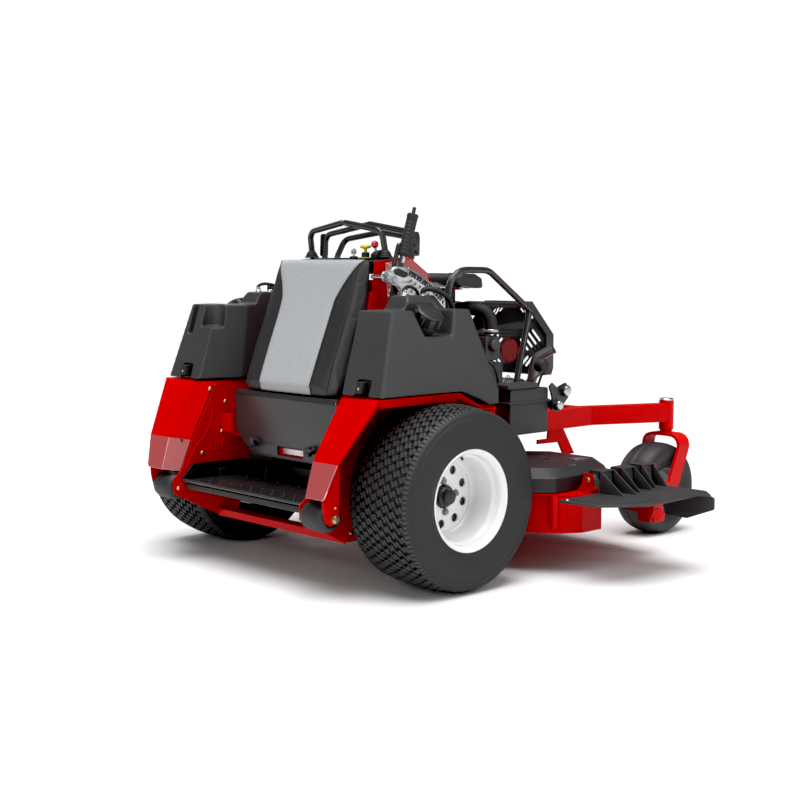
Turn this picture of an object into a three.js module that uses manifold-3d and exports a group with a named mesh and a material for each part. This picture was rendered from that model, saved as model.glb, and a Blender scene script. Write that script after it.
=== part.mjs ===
// A stand-on zero turn mower: drive wheels under the operator, casters on two front arms,
// a side-discharge deck between them. Millimetres, X to the operator's right, Y forward, Z up.
// Every shape is drawn about the machine datum: the drive axle's line on the centre plane,
// at ground level. The last lines move the whole machine so that the origin is the
// bottom centre of its box.
import * as THREE from 'three';
import { mergeVertices } from 'three/addons/utils/BufferGeometryUtils.js';
import Module from 'manifold-3d';

const wasm = await Module();
wasm.setup();

// ---------------------------------------------------------------- driving dimensions
const BOX_CENTRE_X = 155; // where the box centre lies from the machine datum
const BOX_CENTRE_Y = 508;
const GAP = 0.5; // between parts that touch
const WELD_MM = 1e-3; // vertices nearer than this are one vertex

const DRIVE = { radius: 305, inner: 431, outer: 724, rim: 166, bead: 152.5 };
const CASTER = { x: 469, pivotY: 1348, axleY: 1277, radius: 179.4, half: 73 };
const RAIL = { inner: 304, outer: 356, low: 436, high: 508, rear: -168, front: 1025 };
const SIDE_PLATE = { inner: 357, outer: 363 };
const DECK = { low: 141, top: 278, wall: 5, flange: 12, discharge: [602, 872] };
const SPINDLES = { right: [490, 600], center: [0, 725], left: [-490, 600] };
const BLADE_REACH = 248;
const TUBE = 11; // radius of every handle bar
const ROLLER = [-391, 265]; // y, z of the rear rollers' axis
const CHUTE_HINGE = [760, 325]; // x, z of the chute's hinge line
const SECTOR_CENTRE = [-100, 548]; // y, z of the deck-height lever's pivot
const LIFT_SHAFT = [705, 545]; // y, z of the deck-lift shaft

// ---------------------------------------------------------------- finishes
const finish = (colour, roughness, metalness) =>
  new THREE.MeshStandardMaterial({ color: colour, roughness, metalness, flatShading: true });
const red = finish(0xc40a10, 0.3, 0.2);
const darkPlastic = finish(0x4a4a4a, 0.55, 0);
const black = finish(0x1b1b1c, 0.5, 0.2);
const rubber = finish(0x242424, 0.85, 0);
const white = finish(0xeef0f0, 0.35, 0.1);
const vinyl = finish(0x96999b, 0.7, 0);
const zinc = finish(0xb8bcbe, 0.4, 0.8);
const castGrey = finish(0x5b5c5e, 0.6, 0.5);
const yellow = finish(0xe6dc1e, 0.5, 0);

// ---------------------------------------------------------------- solids
// Weld a geometry down to bare positions, drop empty triangles and turn its faces outward.
function clean(geometry) {
  const loose = geometry.index ? geometry.toNonIndexed() : geometry;
  const bare = new THREE.BufferGeometry();
  bare.setAttribute('position', loose.getAttribute('position'));
  const merged = mergeVertices(bare, WELD_MM);
  const position = merged.getAttribute('position');
  const corners = merged.index.array;
  const kept = [];
  let volume = 0;
  const [a, b, c] = [new THREE.Vector3(), new THREE.Vector3(), new THREE.Vector3()];
  for (let i = 0; i < corners.length; i += 3) {
    const [p, q, r] = [corners[i], corners[i + 1], corners[i + 2]];
    if (p === q || q === r || r === p) continue;
    kept.push([p, q, r]);
    a.fromBufferAttribute(position, p);
    b.fromBufferAttribute(position, q);
    c.fromBufferAttribute(position, r);
    volume += a.dot(b.cross(c));
  }
  const turned = volume < 0 ? kept.map(([p, q, r]) => [p, r, q]) : kept;
  merged.setIndex(turned.flat());
  return merged;
}

function toSolid(geometry) {
  const bare = clean(geometry);
  return new wasm.Manifold(new wasm.Mesh({
    numProp: 3,
    vertProperties: new Float32Array(bare.getAttribute('position').array),
    triVerts: new Uint32Array(bare.index.array),
  }));
}

function toGeometry(solid) {
  const mesh = solid.getMesh();
  const geometry = new THREE.BufferGeometry();
  const places = new THREE.BufferAttribute(new Float32Array(mesh.vertProperties), 3);
  geometry.setAttribute('position', places);
  geometry.setIndex(new THREE.BufferAttribute(new Uint32Array(mesh.triVerts), 1));
  return geometry;
}

const join = (...shapes) => toGeometry(shapes.map(toSolid).reduce((all, next) => all.add(next)));
const cut = (body, ...tools) =>
  toGeometry(tools.map(toSolid).reduce((rest, tool) => rest.subtract(tool), toSolid(body)));
const mirrored = (geometry) => clean(geometry.clone().scale(-1, 1, 1));

// ---------------------------------------------------------------- shapes
const block = ([x0, x1], [y0, y1], [z0, z1]) =>
  new THREE.BoxGeometry(x1 - x0, y1 - y0, z1 - z0).translate((x0 + x1) / 2, (y0 + y1) / 2, (z0 + z1) / 2);

// Axes of an extrusion: where the outline's two coordinates and the depth point.
const EXTRUSION = {
  x: [[0, 1, 0], [0, 0, 1], [1, 0, 0]], // outline in y, z
  y: [[1, 0, 0], [0, 0, 1], [0, -1, 0]], // outline in x, z
  z: [[1, 0, 0], [0, 1, 0], [0, 0, 1]], // outline in x, y
};
function prism(axis, outline, low, high) {
  const shape = new THREE.Shape(outline.map(([u, v]) => new THREE.Vector2(u, v)));
  const body = new THREE.ExtrudeGeometry(shape, { depth: high - low, bevelEnabled: false });
  const axes = EXTRUSION[axis].map((v) => new THREE.Vector3(...v));
  const start = axis === 'y' ? -high : low;
  return body.translate(0, 0, start).applyMatrix4(new THREE.Matrix4().makeBasis(...axes));
}

// A round bar or disc along one axis, from low to high, centred on the other two coordinates.
function bar(axis, radius, low, high, centre = [0, 0], sides = 16) {
  const outline = Array.from({ length: sides }, (_, i) => {
    const angle = ((i + 0.5) / sides) * 2 * Math.PI;
    return [centre[0] + radius * Math.cos(angle), centre[1] + radius * Math.sin(angle)];
  });
  return prism(axis, outline, low, high);
}

// A body turned about a line along one axis; the profile is [radius, place along the axis].
function turned(axis, profile, centre = [0, 0], sides = 24) {
  const lathe = new THREE.LatheGeometry(profile.map(([r, t]) => new THREE.Vector2(r, t)), sides);
  if (axis === 'x') return lathe.rotateZ(-Math.PI / 2).translate(0, ...centre);
  if (axis === 'z') return lathe.rotateX(Math.PI / 2).translate(...centre, 0);
  return lathe.translate(centre[0], 0, centre[1]);
}

// A flat facet of sheet metal: a polygon in space with half its thickness on each side.
function facet(points, thickness) {
  const p = points.map((point) => new THREE.Vector3(...point));
  const along = p[1].clone().sub(p[0]).normalize();
  const normal = along.clone().cross(p[2].clone().sub(p[0])).normalize();
  const across = normal.clone().cross(along);
  const shape = new THREE.Shape(p.map((q) => {
    const away = q.clone().sub(p[0]);
    return new THREE.Vector2(away.dot(along), away.dot(across));
  }));
  const place = new THREE.Matrix4().makeBasis(along, across, normal).setPosition(p[0]);
  const sheet = new THREE.ExtrudeGeometry(shape, { depth: thickness, bevelEnabled: false });
  return sheet.translate(0, 0, -thickness / 2).applyMatrix4(place);
}

// A curve that runs exactly through its points, one step from each to the next.
class PointPath extends THREE.Curve {
  constructor(points) {
    super();
    this.points = points;
  }
  getPointAt(t, target = new THREE.Vector3()) {
    return target.copy(this.points[Math.round(t * (this.points.length - 1))]);
  }
  getPoint(t, target) {
    return this.getPointAt(t, target);
  }
  getTangentAt(t, target = new THREE.Vector3()) {
    const last = this.points.length - 1;
    const i = Math.round(t * last);
    const before = this.points[Math.max(i - 1, 0)];
    const after = this.points[Math.min(i + 1, last)];
    return target.copy(after).sub(before).normalize();
  }
}

// Straight runs joined by round bends: each inner corner becomes an arc of the bend radius.
function bent(corners, radius, steps = 3) {
  const p = corners.map((corner) => new THREE.Vector3(...corner));
  const path = [p[0]];
  for (let i = 1; i < p.length - 1; i += 1) {
    const back = p[i - 1].clone().sub(p[i]).normalize();
    const on = p[i + 1].clone().sub(p[i]).normalize();
    const half = back.angleTo(on) / 2;
    const reach = radius / Math.tan(half);
    const middle = back.clone().add(on).normalize().multiplyScalar(radius / Math.sin(half)).add(p[i]);
    const start = p[i].clone().addScaledVector(back, reach).sub(middle);
    const axis = start.clone().cross(p[i].clone().addScaledVector(on, reach).sub(middle)).normalize();
    for (let s = 0; s <= steps; s += 1)
      path.push(start.clone().applyAxisAngle(axis, ((Math.PI - 2 * half) * s) / steps).add(middle));
  }
  path.push(p[p.length - 1]);
  return path;
}

function tube(corners, radius = TUBE, bend = 40, sides = 8) {
  const path = new PointPath(bent(corners, bend));
  const section = new THREE.Shape(Array.from({ length: sides }, (_, i) => {
    const angle = ((i + 0.5) / sides) * 2 * Math.PI;
    return new THREE.Vector2(radius * Math.cos(angle), radius * Math.sin(angle));
  }));
  return new THREE.ExtrudeGeometry(section, { steps: path.points.length - 1, extrudePath: path });
}

// The outline moved outward (or inward, with a negative distance); corners stay corners.
function grown(outline, distance) {
  return outline.map((point, i) => {
    const prev = outline[(i + outline.length - 1) % outline.length];
    const next = outline[(i + 1) % outline.length];
    const unit = ([x0, y0], [x1, y1]) => {
      const length = Math.hypot(x1 - x0, y1 - y0);
      return [(x1 - x0) / length, (y1 - y0) / length];
    };
    const [ax, ay] = unit(prev, point);
    const [bx, by] = unit(point, next);
    const scale = distance / (1 + ax * bx + ay * by);
    return [point[0] + (ay + by) * scale, point[1] - (ax + bx) * scale];
  });
}

const flipX = (outline) => outline.map(([x, y]) => [-x, y]).reverse();

// ---------------------------------------------------------------- the machine
const machine = new THREE.Group();
machine.position.set(-BOX_CENTRE_X, -BOX_CENTRE_Y, 0);

function add(name, geometry, material) {
  const mesh = new THREE.Mesh(clean(geometry), material);
  mesh.name = name;
  machine.add(mesh);
}

// The right-hand piece as drawn, and its mirror image on the left.
function addPair(name, geometry, material) {
  add(`${name}_right`, geometry, material);
  add(`${name}_left`, mirrored(geometry), material);
}

// ---------------------------------------------------------------- drive wheels
function driveTyre() {
  const { radius, inner, outer, rim, bead } = DRIVE;
  const middle = (inner + outer) / 2;
  const half = (outer - inner) / 2;
  const side = [
    [bead + 0.5, 124.5], [rim + 2, 124.5], [190, 140], [235, half], [275, 138], [297, 116], [radius, 68],
  ];
  const outside = [...side.map(([r, t]) => [r, middle + t]), ...side.reverse().map(([r, t]) => [r, middle - t])];
  const hollow = [[168, -112], [232, -127], [290, -90], [290, 90], [232, 127], [168, 112]];
  const inside = hollow.map(([r, t]) => [r, middle + t]);
  return turned('x', [...outside, ...inside, outside[0]], [0, radius]);
}

function driveRim() {
  const { radius, inner, outer, rim, bead } = DRIVE;
  const [back, front] = [inner + 16, outer - 14];
  const profile = [
    [rim, back], [rim, back + 5], [bead, back + 6], [bead, front - 7], [rim, front - 6], [rim, front],
    [bead - 6, front], [bead - 8, front - 127], [41, front - 127], [41, front - 135], [bead - 8, front - 135],
    [bead - 6, back],
  ];
  const ring = (count, reach, size, sides) => Array.from({ length: count }, (_, i) => {
    const angle = (i / count) * 2 * Math.PI;
    const place = [reach * Math.cos(angle), radius + reach * Math.sin(angle)];
    return bar('x', size, front - 150, front - 110, place, sides);
  });
  return cut(turned('x', [...profile, profile[0]], [0, radius]), ...ring(8, 82, 14, 8), ...ring(5, 52, 8, 6));
}

// Hub flange behind the wheel disc, pilot and cap through its middle, five studs with nuts.
function driveHub() {
  const { radius, outer } = DRIVE;
  const disc = outer - 149; // the wheel disc's back face
  const profile = [
    [0, disc - 40], [28, disc - 40], [28, disc - 24], [66, disc - 24], [66, disc - GAP], [39, disc - GAP],
    [37, disc + 22], [32, disc + 30], [0, disc + 30],
  ];
  const studs = Array.from({ length: 5 }, (_, i) => {
    const angle = (i / 5) * 2 * Math.PI;
    const place = [52 * Math.cos(angle), radius + 52 * Math.sin(angle)];
    return [bar('x', 6, disc - 10, disc + 20, place, 6), bar('x', 12, disc + 8 + GAP, disc + 24, place, 6)];
  });
  return join(turned('x', profile, [0, radius], 16), ...studs.flat());
}

addPair('drive_tyre', driveTyre(), rubber);
addPair('drive_rim', driveRim(), white);
addPair('drive_hub', driveHub(), black);

// Pump, gearbox and wheel motor in one unit, its shaft housing running into the rim.
function hydroUnit() {
  const axle = [0, DRIVE.radius];
  const housing = [
    [0, 345], [56, 345], [56, 366], [96, 366], [96, 420], [72, 440], [72, 500], [42, 512], [42, 534], [0, 534],
  ];
  const pump = block([215, 350], [-95, 95], [212, 402]);
  return join(turned('x', housing, axle, 16), pump, block([225, 300], [-60, 40], [402, 425]));
}
addPair('hydro_unit', hydroUnit(), castGrey);

// ---------------------------------------------------------------- frame
const ENGINE_DECK = { rear: 250, front: 880, thick: 8 };

function mainFrame() {
  const { inner, outer, low, high, rear, front } = RAIL;
  const both = (shape) => [shape, mirrored(shape)];
  const rail = block([inner, outer], [rear, front], [low, high]);
  const across = [-inner - 4, inner + 4];
  const deckPlate = block(across, [ENGINE_DECK.rear, ENGINE_DECK.front], [high - ENGINE_DECK.thick, high]);
  const rearCross = block(across, [rear, rear + 50], [low, high]);
  const frontCross = block(across, [960, 1010], [low, high]);
  const hangerSide = [
    [780, low + 4], [862, low + 4], [930, 335], [868, 335], [838, 386], [720, 388], [720, 404], [776, 404],
  ];
  const hanger = prism('x', hangerSide, outer - 14, outer - 6);
  const bearingSide = [[670, high - 4], [740, high - 4], [732, 560], [718, 573], [692, 573], [678, 560]];
  const bearing = prism('x', bearingSide, outer - 30, outer - 2);
  const frame = join(rail, mirrored(rail), deckPlate, rearCross, frontCross, ...both(hanger), ...both(bearing));
  return cut(frame, bar('x', 14.5, -400, 400, LIFT_SHAFT, 12));
}
add('main_frame', mainFrame(), red);

// Rear side plate: carries the wheel motor, the foot platform and the roller's long bolt.
function sidePlate() {
  const outline = [[-236, 629], [-343, 428], [-390, 322], [-424, 296], [-424, 250], [-408, 236], [-235, 150],
    [-150, 150], [-120, 205], [160, 210], [230, 260], [330, 420], [330, 500], [170, 560], [60, 628]];
  const boltSide = [[0, 350], [14, 350], [14, 358], [8.5, 360], [8.5, 490 + GAP], [14, 490 + GAP], [14, 500], [0, 500]];
  const bolt = turned('x', boltSide, ROLLER, 8);
  const plate = prism('x', outline, SIDE_PLATE.inner, SIDE_PLATE.outer);
  return join(cut(plate, bar('x', 58, 340, 380, [0, DRIVE.radius], 16)), bolt);
}
addPair('side_plate', sidePlate(), red);
const angleIron = [[-232, 144], [-227, 144], [-227, 165], [-184, 165], [-184, 170], [-232, 170]];
add('lower_crossmember', prism('x', angleIron, -356.5, 356.5), red);

// Folded rear fender: two outer facets, two inner facets, the top shelf and the roller's outer ear.
function fender() {
  const fold = [[409, -287, 633], [409, -405, 440], [409, -437, 328]];
  const edge = [[591, -287, 633], [528, -405, 440], [497, -437, 328]];
  const inside = [[366, -238, 629], [366, -343, 429], [366, -390, 322]];
  const thick = 5;
  const sheets = [
    facet([fold[0], edge[0], edge[1], fold[1]], thick),
    facet([fold[1], edge[1], edge[2], fold[2]], thick),
    facet([inside[0], fold[0], fold[1], inside[1]], thick),
    facet([inside[1], fold[1], fold[2], inside[2]], thick),
    block([366, 592], [-284, 60], [629, 635]),
    facet([[366, 59, 632], [592, 59, 632], [592, 182, 578], [366, 182, 578]], thick),
    block([366, 592], [180, 240], [575, 580]),
    block([587, 592], [-284, 60], [612, 633]),
  ];
  const earSide = [[-408, 430], [-360, 430], [-366, 335], [-370, 272], [-375, 256], [-386, 247], [-400, 243], [-413, 247],
    [-424, 258], [-436, 300], [-436, 330]];
  const ear = prism('x', earSide, 484, 490);
  return cut(join(...sheets, ear), bar('x', 10, 470, 500, ROLLER, 8));
}
addPair('fender', fender(), red);

// Rubber roller, turning on the bolt between the side plate and the fender's ear.
function rearRoller() {
  const profile = [
    [9.5, 368], [30, 368], [46, 376], [49, 392], [49, 456], [46, 472], [30, 480], [9.5, 480], [9.5, 368],
  ];
  return turned('x', profile, ROLLER, 16);
}
addPair('rear_roller', rearRoller(), rubber);

// Foot platform: ribbed floor with side lips and a toe board, folding up about its cross pin.
function footPlatform() {
  const half = 350;
  const lip = prism('x', [[-393, 284], [-120, 284], [-120, 344], [-345, 347], [-393, 300]], half - 5, half);
  const floor = block([-half, half], [-393, -120], [284, 292]);
  const toe = block([-half, half], [-126, -120], [284, 344]);
  const boss = block([half - 22, half], [-239, -211], [284, 320]);
  return join(floor, toe, lip, mirrored(lip), boss, mirrored(boss));
}
add('foot_platform', footPlatform(), black);

// Steel cover above the feet, with a window slot and two knob holes.
function rearCover() {
  const corner = [[180, 384], [236, 424], [285, 470], [285, 596]];
  const outline = [...corner, ...flipX(corner)];
  const pan = prism('y', outline, -203, -176);
  const hollow = prism('y', grown(outline, -4), -199, -150);
  const window = block([-41, 103], [-220, -190], [396, 427]);
  const holes = [-158, 158].map((x) => bar('y', 7, -220, -190, [x, 430], 8));
  return cut(pan, hollow, window, ...holes);
}
add('rear_cover', rearCover(), darkPlastic);

function starKnob(x) {
  const lobes = 6;
  const outline = Array.from({ length: lobes * 2 }, (_, i) => {
    const angle = (i / (lobes * 2)) * 2 * Math.PI;
    const reach = i % 2 ? 15 : 20;
    return [x + reach * Math.cos(angle), 430 + reach * Math.sin(angle)];
  });
  const collar = bar('y', 12, -214, -203 - GAP, [x, 430], 8);
  const stud = bar('y', 6, -205, -185, [x, 430], 8);
  return join(prism('y', outline, -230, -212), collar, stud);
}
add('cover_knob_left', starKnob(-158), black);
add('cover_knob_right', starKnob(158), black);

// ---------------------------------------------------------------- operator's console
// Plain body of the thigh cushion; its faces lean forward towards the top.
function thighCushion() {
  const side = [
    [-206, 612], [-205, 640], [-84, 940], [-38, 1072], [-30, 1080], [-12, 1078], [-22, 975], [-106, 630], [-120, 612],
  ];
  const body = prism('x', side, -280, 280);
  const flank = prism('y', [[262, 560], [300, 560], [300, 1200], [238, 1200], [256, 900]], -400, 200);
  return cut(body, flank, mirrored(flank));
}
add('thigh_cushion', thighCushion(), vinyl);

function console() {
  const side = [
    [-92, 640], [-16, 975], [-6, 1068], [158, 1080], [242, 1026], [262, 930], [262, 509], [180, 509], [180, 640],
  ];
  const plate = prism('x', side, 249, 253);
  const front = block([-250, 250], [258, 262], [509, 1000]);
  const back = facet([[-250, -90, 645], [250, -90, 645], [250, -18, 965], [-250, -18, 965]], 4);
  const floor = block([-250, 250], [-90, 262], [640, 644]);
  return join(plate, mirrored(plate), front, back, floor);
}
add('console', console(), red);

// Dash: the shelf under the handle bars that carries the knobs.
function dash() {
  const side = [[4, 1069], [158, 1081], [240, 1028], [240, 1020], [156, 1068], [4, 1056]];
  return prism('x', side, -248.5, 248.5);
}
add('dash_panel', dash(), black);

// Each drive lever is a bent bar with a closed end beside the centre line.
function driveLever() {
  const pivot = 1105;
  return tube([[10, 70, 1203], [196, 76, 1174], [201, 91, pivot - 20]], TUBE, 34);
}
addPair('drive_lever', driveLever(), black);

function rearReferenceBar() {
  const half = [[236, 178, 1076.5], [243, 189, 1165]];
  const other = half.map(([x, y, z]) => [-x, y, z]).reverse();
  const arm = prism('x', [[166, 1086], [204, 1086], [206, 1150], [200, 1170], [170, 1170]], 247, 251);
  return join(tube([...half, [0, 194, 1201], ...other], TUBE, 30), arm, mirrored(arm));
}
add('reference_bar_rear', rearReferenceBar(), black);

function frontReferenceBar() {
  const half = [[200, 205, 1058.5], [200, 211, 1089], [190, 238, 1149]];
  const other = half.map(([x, y, z]) => [-x, y, z]).reverse();
  return tube([...half, [0, 250, 1173], ...other], TUBE, 30);
}
add('reference_bar_front', frontReferenceBar(), black);

const PTO = [134, 56];
const KEY = [62, 64];
const ptoCap = turned('z', [[0, 1112], [18, 1112], [20, 1118], [13, 1124], [0, 1124]], PTO, 12);
add('pto_knob', join(ptoCap, bar('z', 6, 1073.8, 1114, PTO, 8)), yellow);
const throttleBall = new THREE.SphereGeometry(13, 10, 6).translate(171, 66, 1126);
add('throttle_lever', join(throttleBall, tube([[171, 66, 1122], [175, 80, 1082]], 4, 10, 6)), red);
add('ignition_key', join(block([60, 64], [52, 76], [1092, 1112]), bar('z', 4, 1075, 1094, KEY, 8)), zinc);

// ---------------------------------------------------------------- deck-height control
const LEVER_LEAN = Math.atan2(43, 135);
const GRIP_FOOT = [310, 72, 1086];
function deckHeightLever() {
  const armSide = [[-118, 535], [-82, 535], [-78, 560], [52, 985], [84, 1104], [68, 1108], [26, 1000], [-120, 570]];
  const arm = prism('x', armSide, 306, 314);
  const gripSide = [[0, 0], [15, 0], [19, 8], [19, 140], [15, 148], [7, 148], [7, 130], [0, 130]];
  const grip = turned('z', gripSide, [0, 0], 12).rotateX(-LEVER_LEAN).translate(...GRIP_FOOT);
  return cut(join(arm, grip), bar('x', 8.5, 300, 320, SECTOR_CENTRE, 10));
}
add('deck_height_lever', deckHeightLever(), black);

function leverButton() {
  const side = [[0, 142], [6.5, 142], [6.5, 170], [5, 173], [0, 173]];
  return turned('z', side, [0, 0], 10).rotateX(-LEVER_LEAN).translate(...GRIP_FOOT);
}
add('lever_button', leverButton(), black);

// Galvanised sector with two rows of height holes on arcs about the lever's pivot.
function heightSector() {
  const outline = [
    [-34, 1000], [-44, 1020], [-34, 1034], [0, 1038], [17, 1052], [78, 1046], [136, 1024], [196, 990],
    [258, 937], [235, 912], [162, 936], [103, 967], [58, 968], [37, 966], [20, 984], [0, 994],
  ];
  const plate = prism('x', outline, 322, 326);
  const hole = (reach, degrees) => {
    const angle = (degrees * Math.PI) / 180;
    const place = [SECTOR_CENTRE[0] + reach * Math.cos(angle), SECTOR_CENTRE[1] + reach * Math.sin(angle)];
    return bar('x', 7, 315, 335, place, 8);
  };
  const upper = Array.from({ length: 8 }, (_, i) => hole(468, 72 - i * 3.4));
  const strap = block([253 + GAP, 326], [240, 256], [900, 934]);
  return cut(join(plate, strap), ...upper);
}
add('height_sector_plate', heightSector(), zinc);

// Lift shaft across the frame with an end plate and pin on each side.
function liftShaft() {
  const [y, z] = LIFT_SHAFT;
  const outline = [
    [-26, -18], [8, -26], [30, -6], [62, 22], [72, 52], [50, 78], [22, 70], [2, 62], [-24, 82], [-40, 70], [-24, 30],
  ];
  const arm = prism('x', outline.map(([u, v]) => [y + u, z + v]), 446, 454);
  const ends = join(arm, bar('x', 22, 450, 466, [y + 41, z + 50], 10), bar('x', 20, 430, 464, [y, z], 10));
  return join(bar('x', 14, -440, 440, [y, z], 12), ends, mirrored(ends));
}
add('deck_lift_shaft', liftShaft(), black);

// ---------------------------------------------------------------- tanks
// The block between two outlines in plan, the lower and the upper one.
function loft(lower, upper, low, high) {
  const count = lower.length;
  const corners = [...lower.map(([x, y]) => [x, y, low]), ...upper.map(([x, y]) => [x, y, high])];
  const geometry = new THREE.BufferGeometry();
  const faces = [];
  for (let i = 0; i < count; i += 1) {
    const j = (i + 1) % count;
    faces.push(i, j, count + j, i, count + j, count + i);
    if (i > 0 && i < count - 1) faces.push(0, i + 1, i, count, count + i, count + i + 1);
  }
  geometry.setAttribute('position', new THREE.BufferAttribute(new Float32Array(corners.flat()), 3));
  geometry.setIndex(faces);
  return geometry;
}

function tankBody() {
  const lower = [[342, -130], [400, -281], [592, -281], [592, 80], [592, 248], [342, 248]];
  const upper = [[352, -90], [395, -200], [552, -200], [552, 40], [552, 147], [352, 147]];
  const body = loft(lower, upper, 643, 911);
  const toe = prism('x', [[70, 644], [250, 644], [250, 592], [198, 592], [182, 602], [80, 640]], 342, 592);
  const humpFoot = [[352, -60], [470, -60], [470, 120], [352, 120]];
  const hump = loft(humpFoot, [[356, -30], [440, -30], [440, 95], [356, 95]], 905, 955);
  const notch = block([458, 525], [-300, -236], [640, 696]);
  return cut(join(body, toe, hump), notch);
}

// The filler recess in the tank's outer top edge.
const fillerRecess = prism('x', [[-117, 930], [-66, 826], [52, 826], [80, 930]], 452, 640);
function rightTank() {
  return cut(tankBody(), fillerRecess);
}
function leftTank() {
  const cup = bar('z', 46, 828, 1000, [-424, -196], 16);
  const slot = block([-541, -511], [-240, -165], [800, 1000]);
  return cut(mirrored(tankBody()), mirrored(fillerRecess), cup, slot);
}
add('tank_right', rightTank(), darkPlastic);
add('tank_left', leftTank(), darkPlastic);

// Lobed fuel cap that leans outward with its filler.
const CAP = { place: [508, -15, 870], lean: (36 * Math.PI) / 180 };
function fuelCap() {
  const lobes = 8;
  const outline = Array.from({ length: lobes * 2 }, (_, i) => {
    const angle = (i / (lobes * 2)) * 2 * Math.PI;
    const reach = i % 2 ? 46 : 51;
    return [reach * Math.cos(angle), reach * Math.sin(angle)];
  });
  return prism('z', outline, 2, 48).rotateY(CAP.lean).translate(...CAP.place);
}
addPair('fuel_cap', fuelCap(), black);

// ---------------------------------------------------------------- engine
function engine() {
  const crankcase = bar('z', 150, 508 + GAP, 660, [0, 470], 16);
  const shroudPlan = [[-157, 320], [157, 320], [180, 421], [130, 630], [-130, 630], [-180, 421]];
  const shroud = prism('z', shroudPlan, 655, 800);
  const cylinder = block([-58, 58], [0, 150], [672, 812]).rotateZ(-0.72).translate(70, 540, 0);
  const filter = bar('x', 36, 150, 205, [650, 625], 12);
  const base = block([60, 200], [560, 690], [560, 690]);
  const post = bar('z', 32, 795, 968 - GAP, [40, 540], 10);
  const elbow = tube([[60, 545, 890], [205, 590, 884], [212, 606, 790]], 24, 30, 10);
  return join(crankcase, shroud, cylinder, mirrored(cylinder), base, filter, post, elbow);
}
add('engine', engine(), castGrey);

function airCleaner() {
  const end = [[470, 990], [478, 1010], [505, 1024], [575, 1022], [612, 1004], [618, 968], [590, 968]];
  return prism('x', end, -140, 165);
}
add('air_cleaner', airCleaner(), darkPlastic);

function muffler() {
  const can = turned('x', [[0, -190], [44, -190], [52, -180], [52, 180], [44, 190], [0, 190]], [805, 566], 16);
  const pipe = tube([[150, 805, 585], [240, 802, 600], [250, 815, 700], [306, 852, 738]], 20, 34, 10);
  const bore = tube([[280, 835, 721], [350, 881, 768]], 15, 10, 8);
  return cut(join(can, pipe), bore);
}
add('muffler', muffler(), castGrey);

// Tubular guard: an upright hoop in front and two rails over the engine.
function engineGuard() {
  const post = [[205, 757, 508 + GAP], [205, 757, 611], [190, 850, 898]];
  const other = post.map(([x, y, z]) => [-x, y, z]).reverse();
  const hoop = tube([...post, ...other], 12, 40, 6);
  const rail = tube([[200, 393, 508 + GAP], [200, 393, 1038], [200, 603, 1035], [192, 845, 880]], 12, 36, 6);
  return join(hoop, rail, mirrored(rail));
}
add('engine_guard', engineGuard(), black);

// Slotted guard plate: a shallow pan whose rim points back towards the engine.
function guardPlate() {
  const half = [[212, 627], [222, 655], [222, 785], [110, 911]];
  const outline = [...half, ...flipX(half)];
  const pan = prism('y', outline, 908, 950);
  const hollow = prism('y', grown(outline, -4), 800, 946);
  const slot = (x, z, length, degrees) => {
    const opening = block([-length / 2, length / 2], [-20, 20], [-5.5, 5.5]);
    return opening.rotateY((degrees * Math.PI) / 180).translate(x, 948, z);
  };
  const right = [-2, -1, 0, 1].flatMap((i) => [
    slot(112 + i * 21, 765 + i * 13, 62, 45), slot(118 + i * 22, 668 - i * 4, 52, -45),
  ]);
  const top = [-1, 0, 1].map((i) => slot(75 + i * 24, 872 - i * 12, 44, 45));
  const all = [...right, ...top];
  return cut(pan, hollow, ...all, ...all.map(mirrored));
}
add('guard_plate', guardPlate(), black);
add('guard_disc', bar('y', 48, 938, 946 - GAP, [0, 713], 20), red);

function batteryBox() {
  const body = block([364, 440], [470, 672], [448, 612]);
  const lid = block([366, 446], [452, 612], [614, 632]);
  return join(body, lid, block([370, 436], [480, 600], [610, 616]));
}
add('battery_box', batteryBox(), darkPlastic);

// ---------------------------------------------------------------- caster arms and casters
function casterArm() {
  const { inner, outer, low, high, front } = RAIL;
  const { x, pivotY } = CASTER;
  const start = front + GAP;
  const plan = [[inner, start], [outer, start], [x + 22, pivotY - 22], [x - 20, pivotY + 12]];
  const arm = prism('z', plan, low, high);
  const sleeve = bar('z', 29, 405, 522, [x, pivotY], 16);
  return cut(join(arm, sleeve), bar('z', 14, 300, 600, [x, pivotY], 12));
}
addPair('caster_arm', casterArm(), red);

// Fork: arched crown, two flat legs, axle bolt through the wheel and the stem in the sleeve.
function casterFork() {
  const { x, pivotY, axleY, radius } = CASTER;
  const [near, far] = [79, 90];
  const outside = [[far, 340], [far, 362], [64, 394]];
  const inside = [[near, 340], [near, 358], [58, 384]];
  const arch = [...outside, ...flipX(outside), ...inside.map(([u, z]) => [-u, z]), ...inside.slice().reverse()];
  const crown = prism('y', arch.map(([u, z]) => [x + u, z]), pivotY - 36, pivotY + 34);
  const legSide = [
    [pivotY - 36, 341], [pivotY + 34, 341], [axleY + 38, 190], [axleY + 26, 150], [axleY, 140], [axleY - 26, 150],
    [axleY - 36, 190],
  ];
  const legs = [near, -far].map((u) => prism('x', legSide, x + u, x + u + far - near));
  const heads = [x - 102, x + 88].map((low) => bar('x', 14, low, low + 14, [axleY, radius], 6));
  const axle = join(bar('x', 8, x - 100, x + 100, [axleY, radius], 8), ...heads);
  const stem = join(bar('z', 13, 388, 524, [x, pivotY], 12), bar('z', 24, 388, 404, [x, pivotY], 12));
  return join(crown, ...legs, axle, stem);
}
addPair('caster_fork', casterFork(), red);

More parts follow.
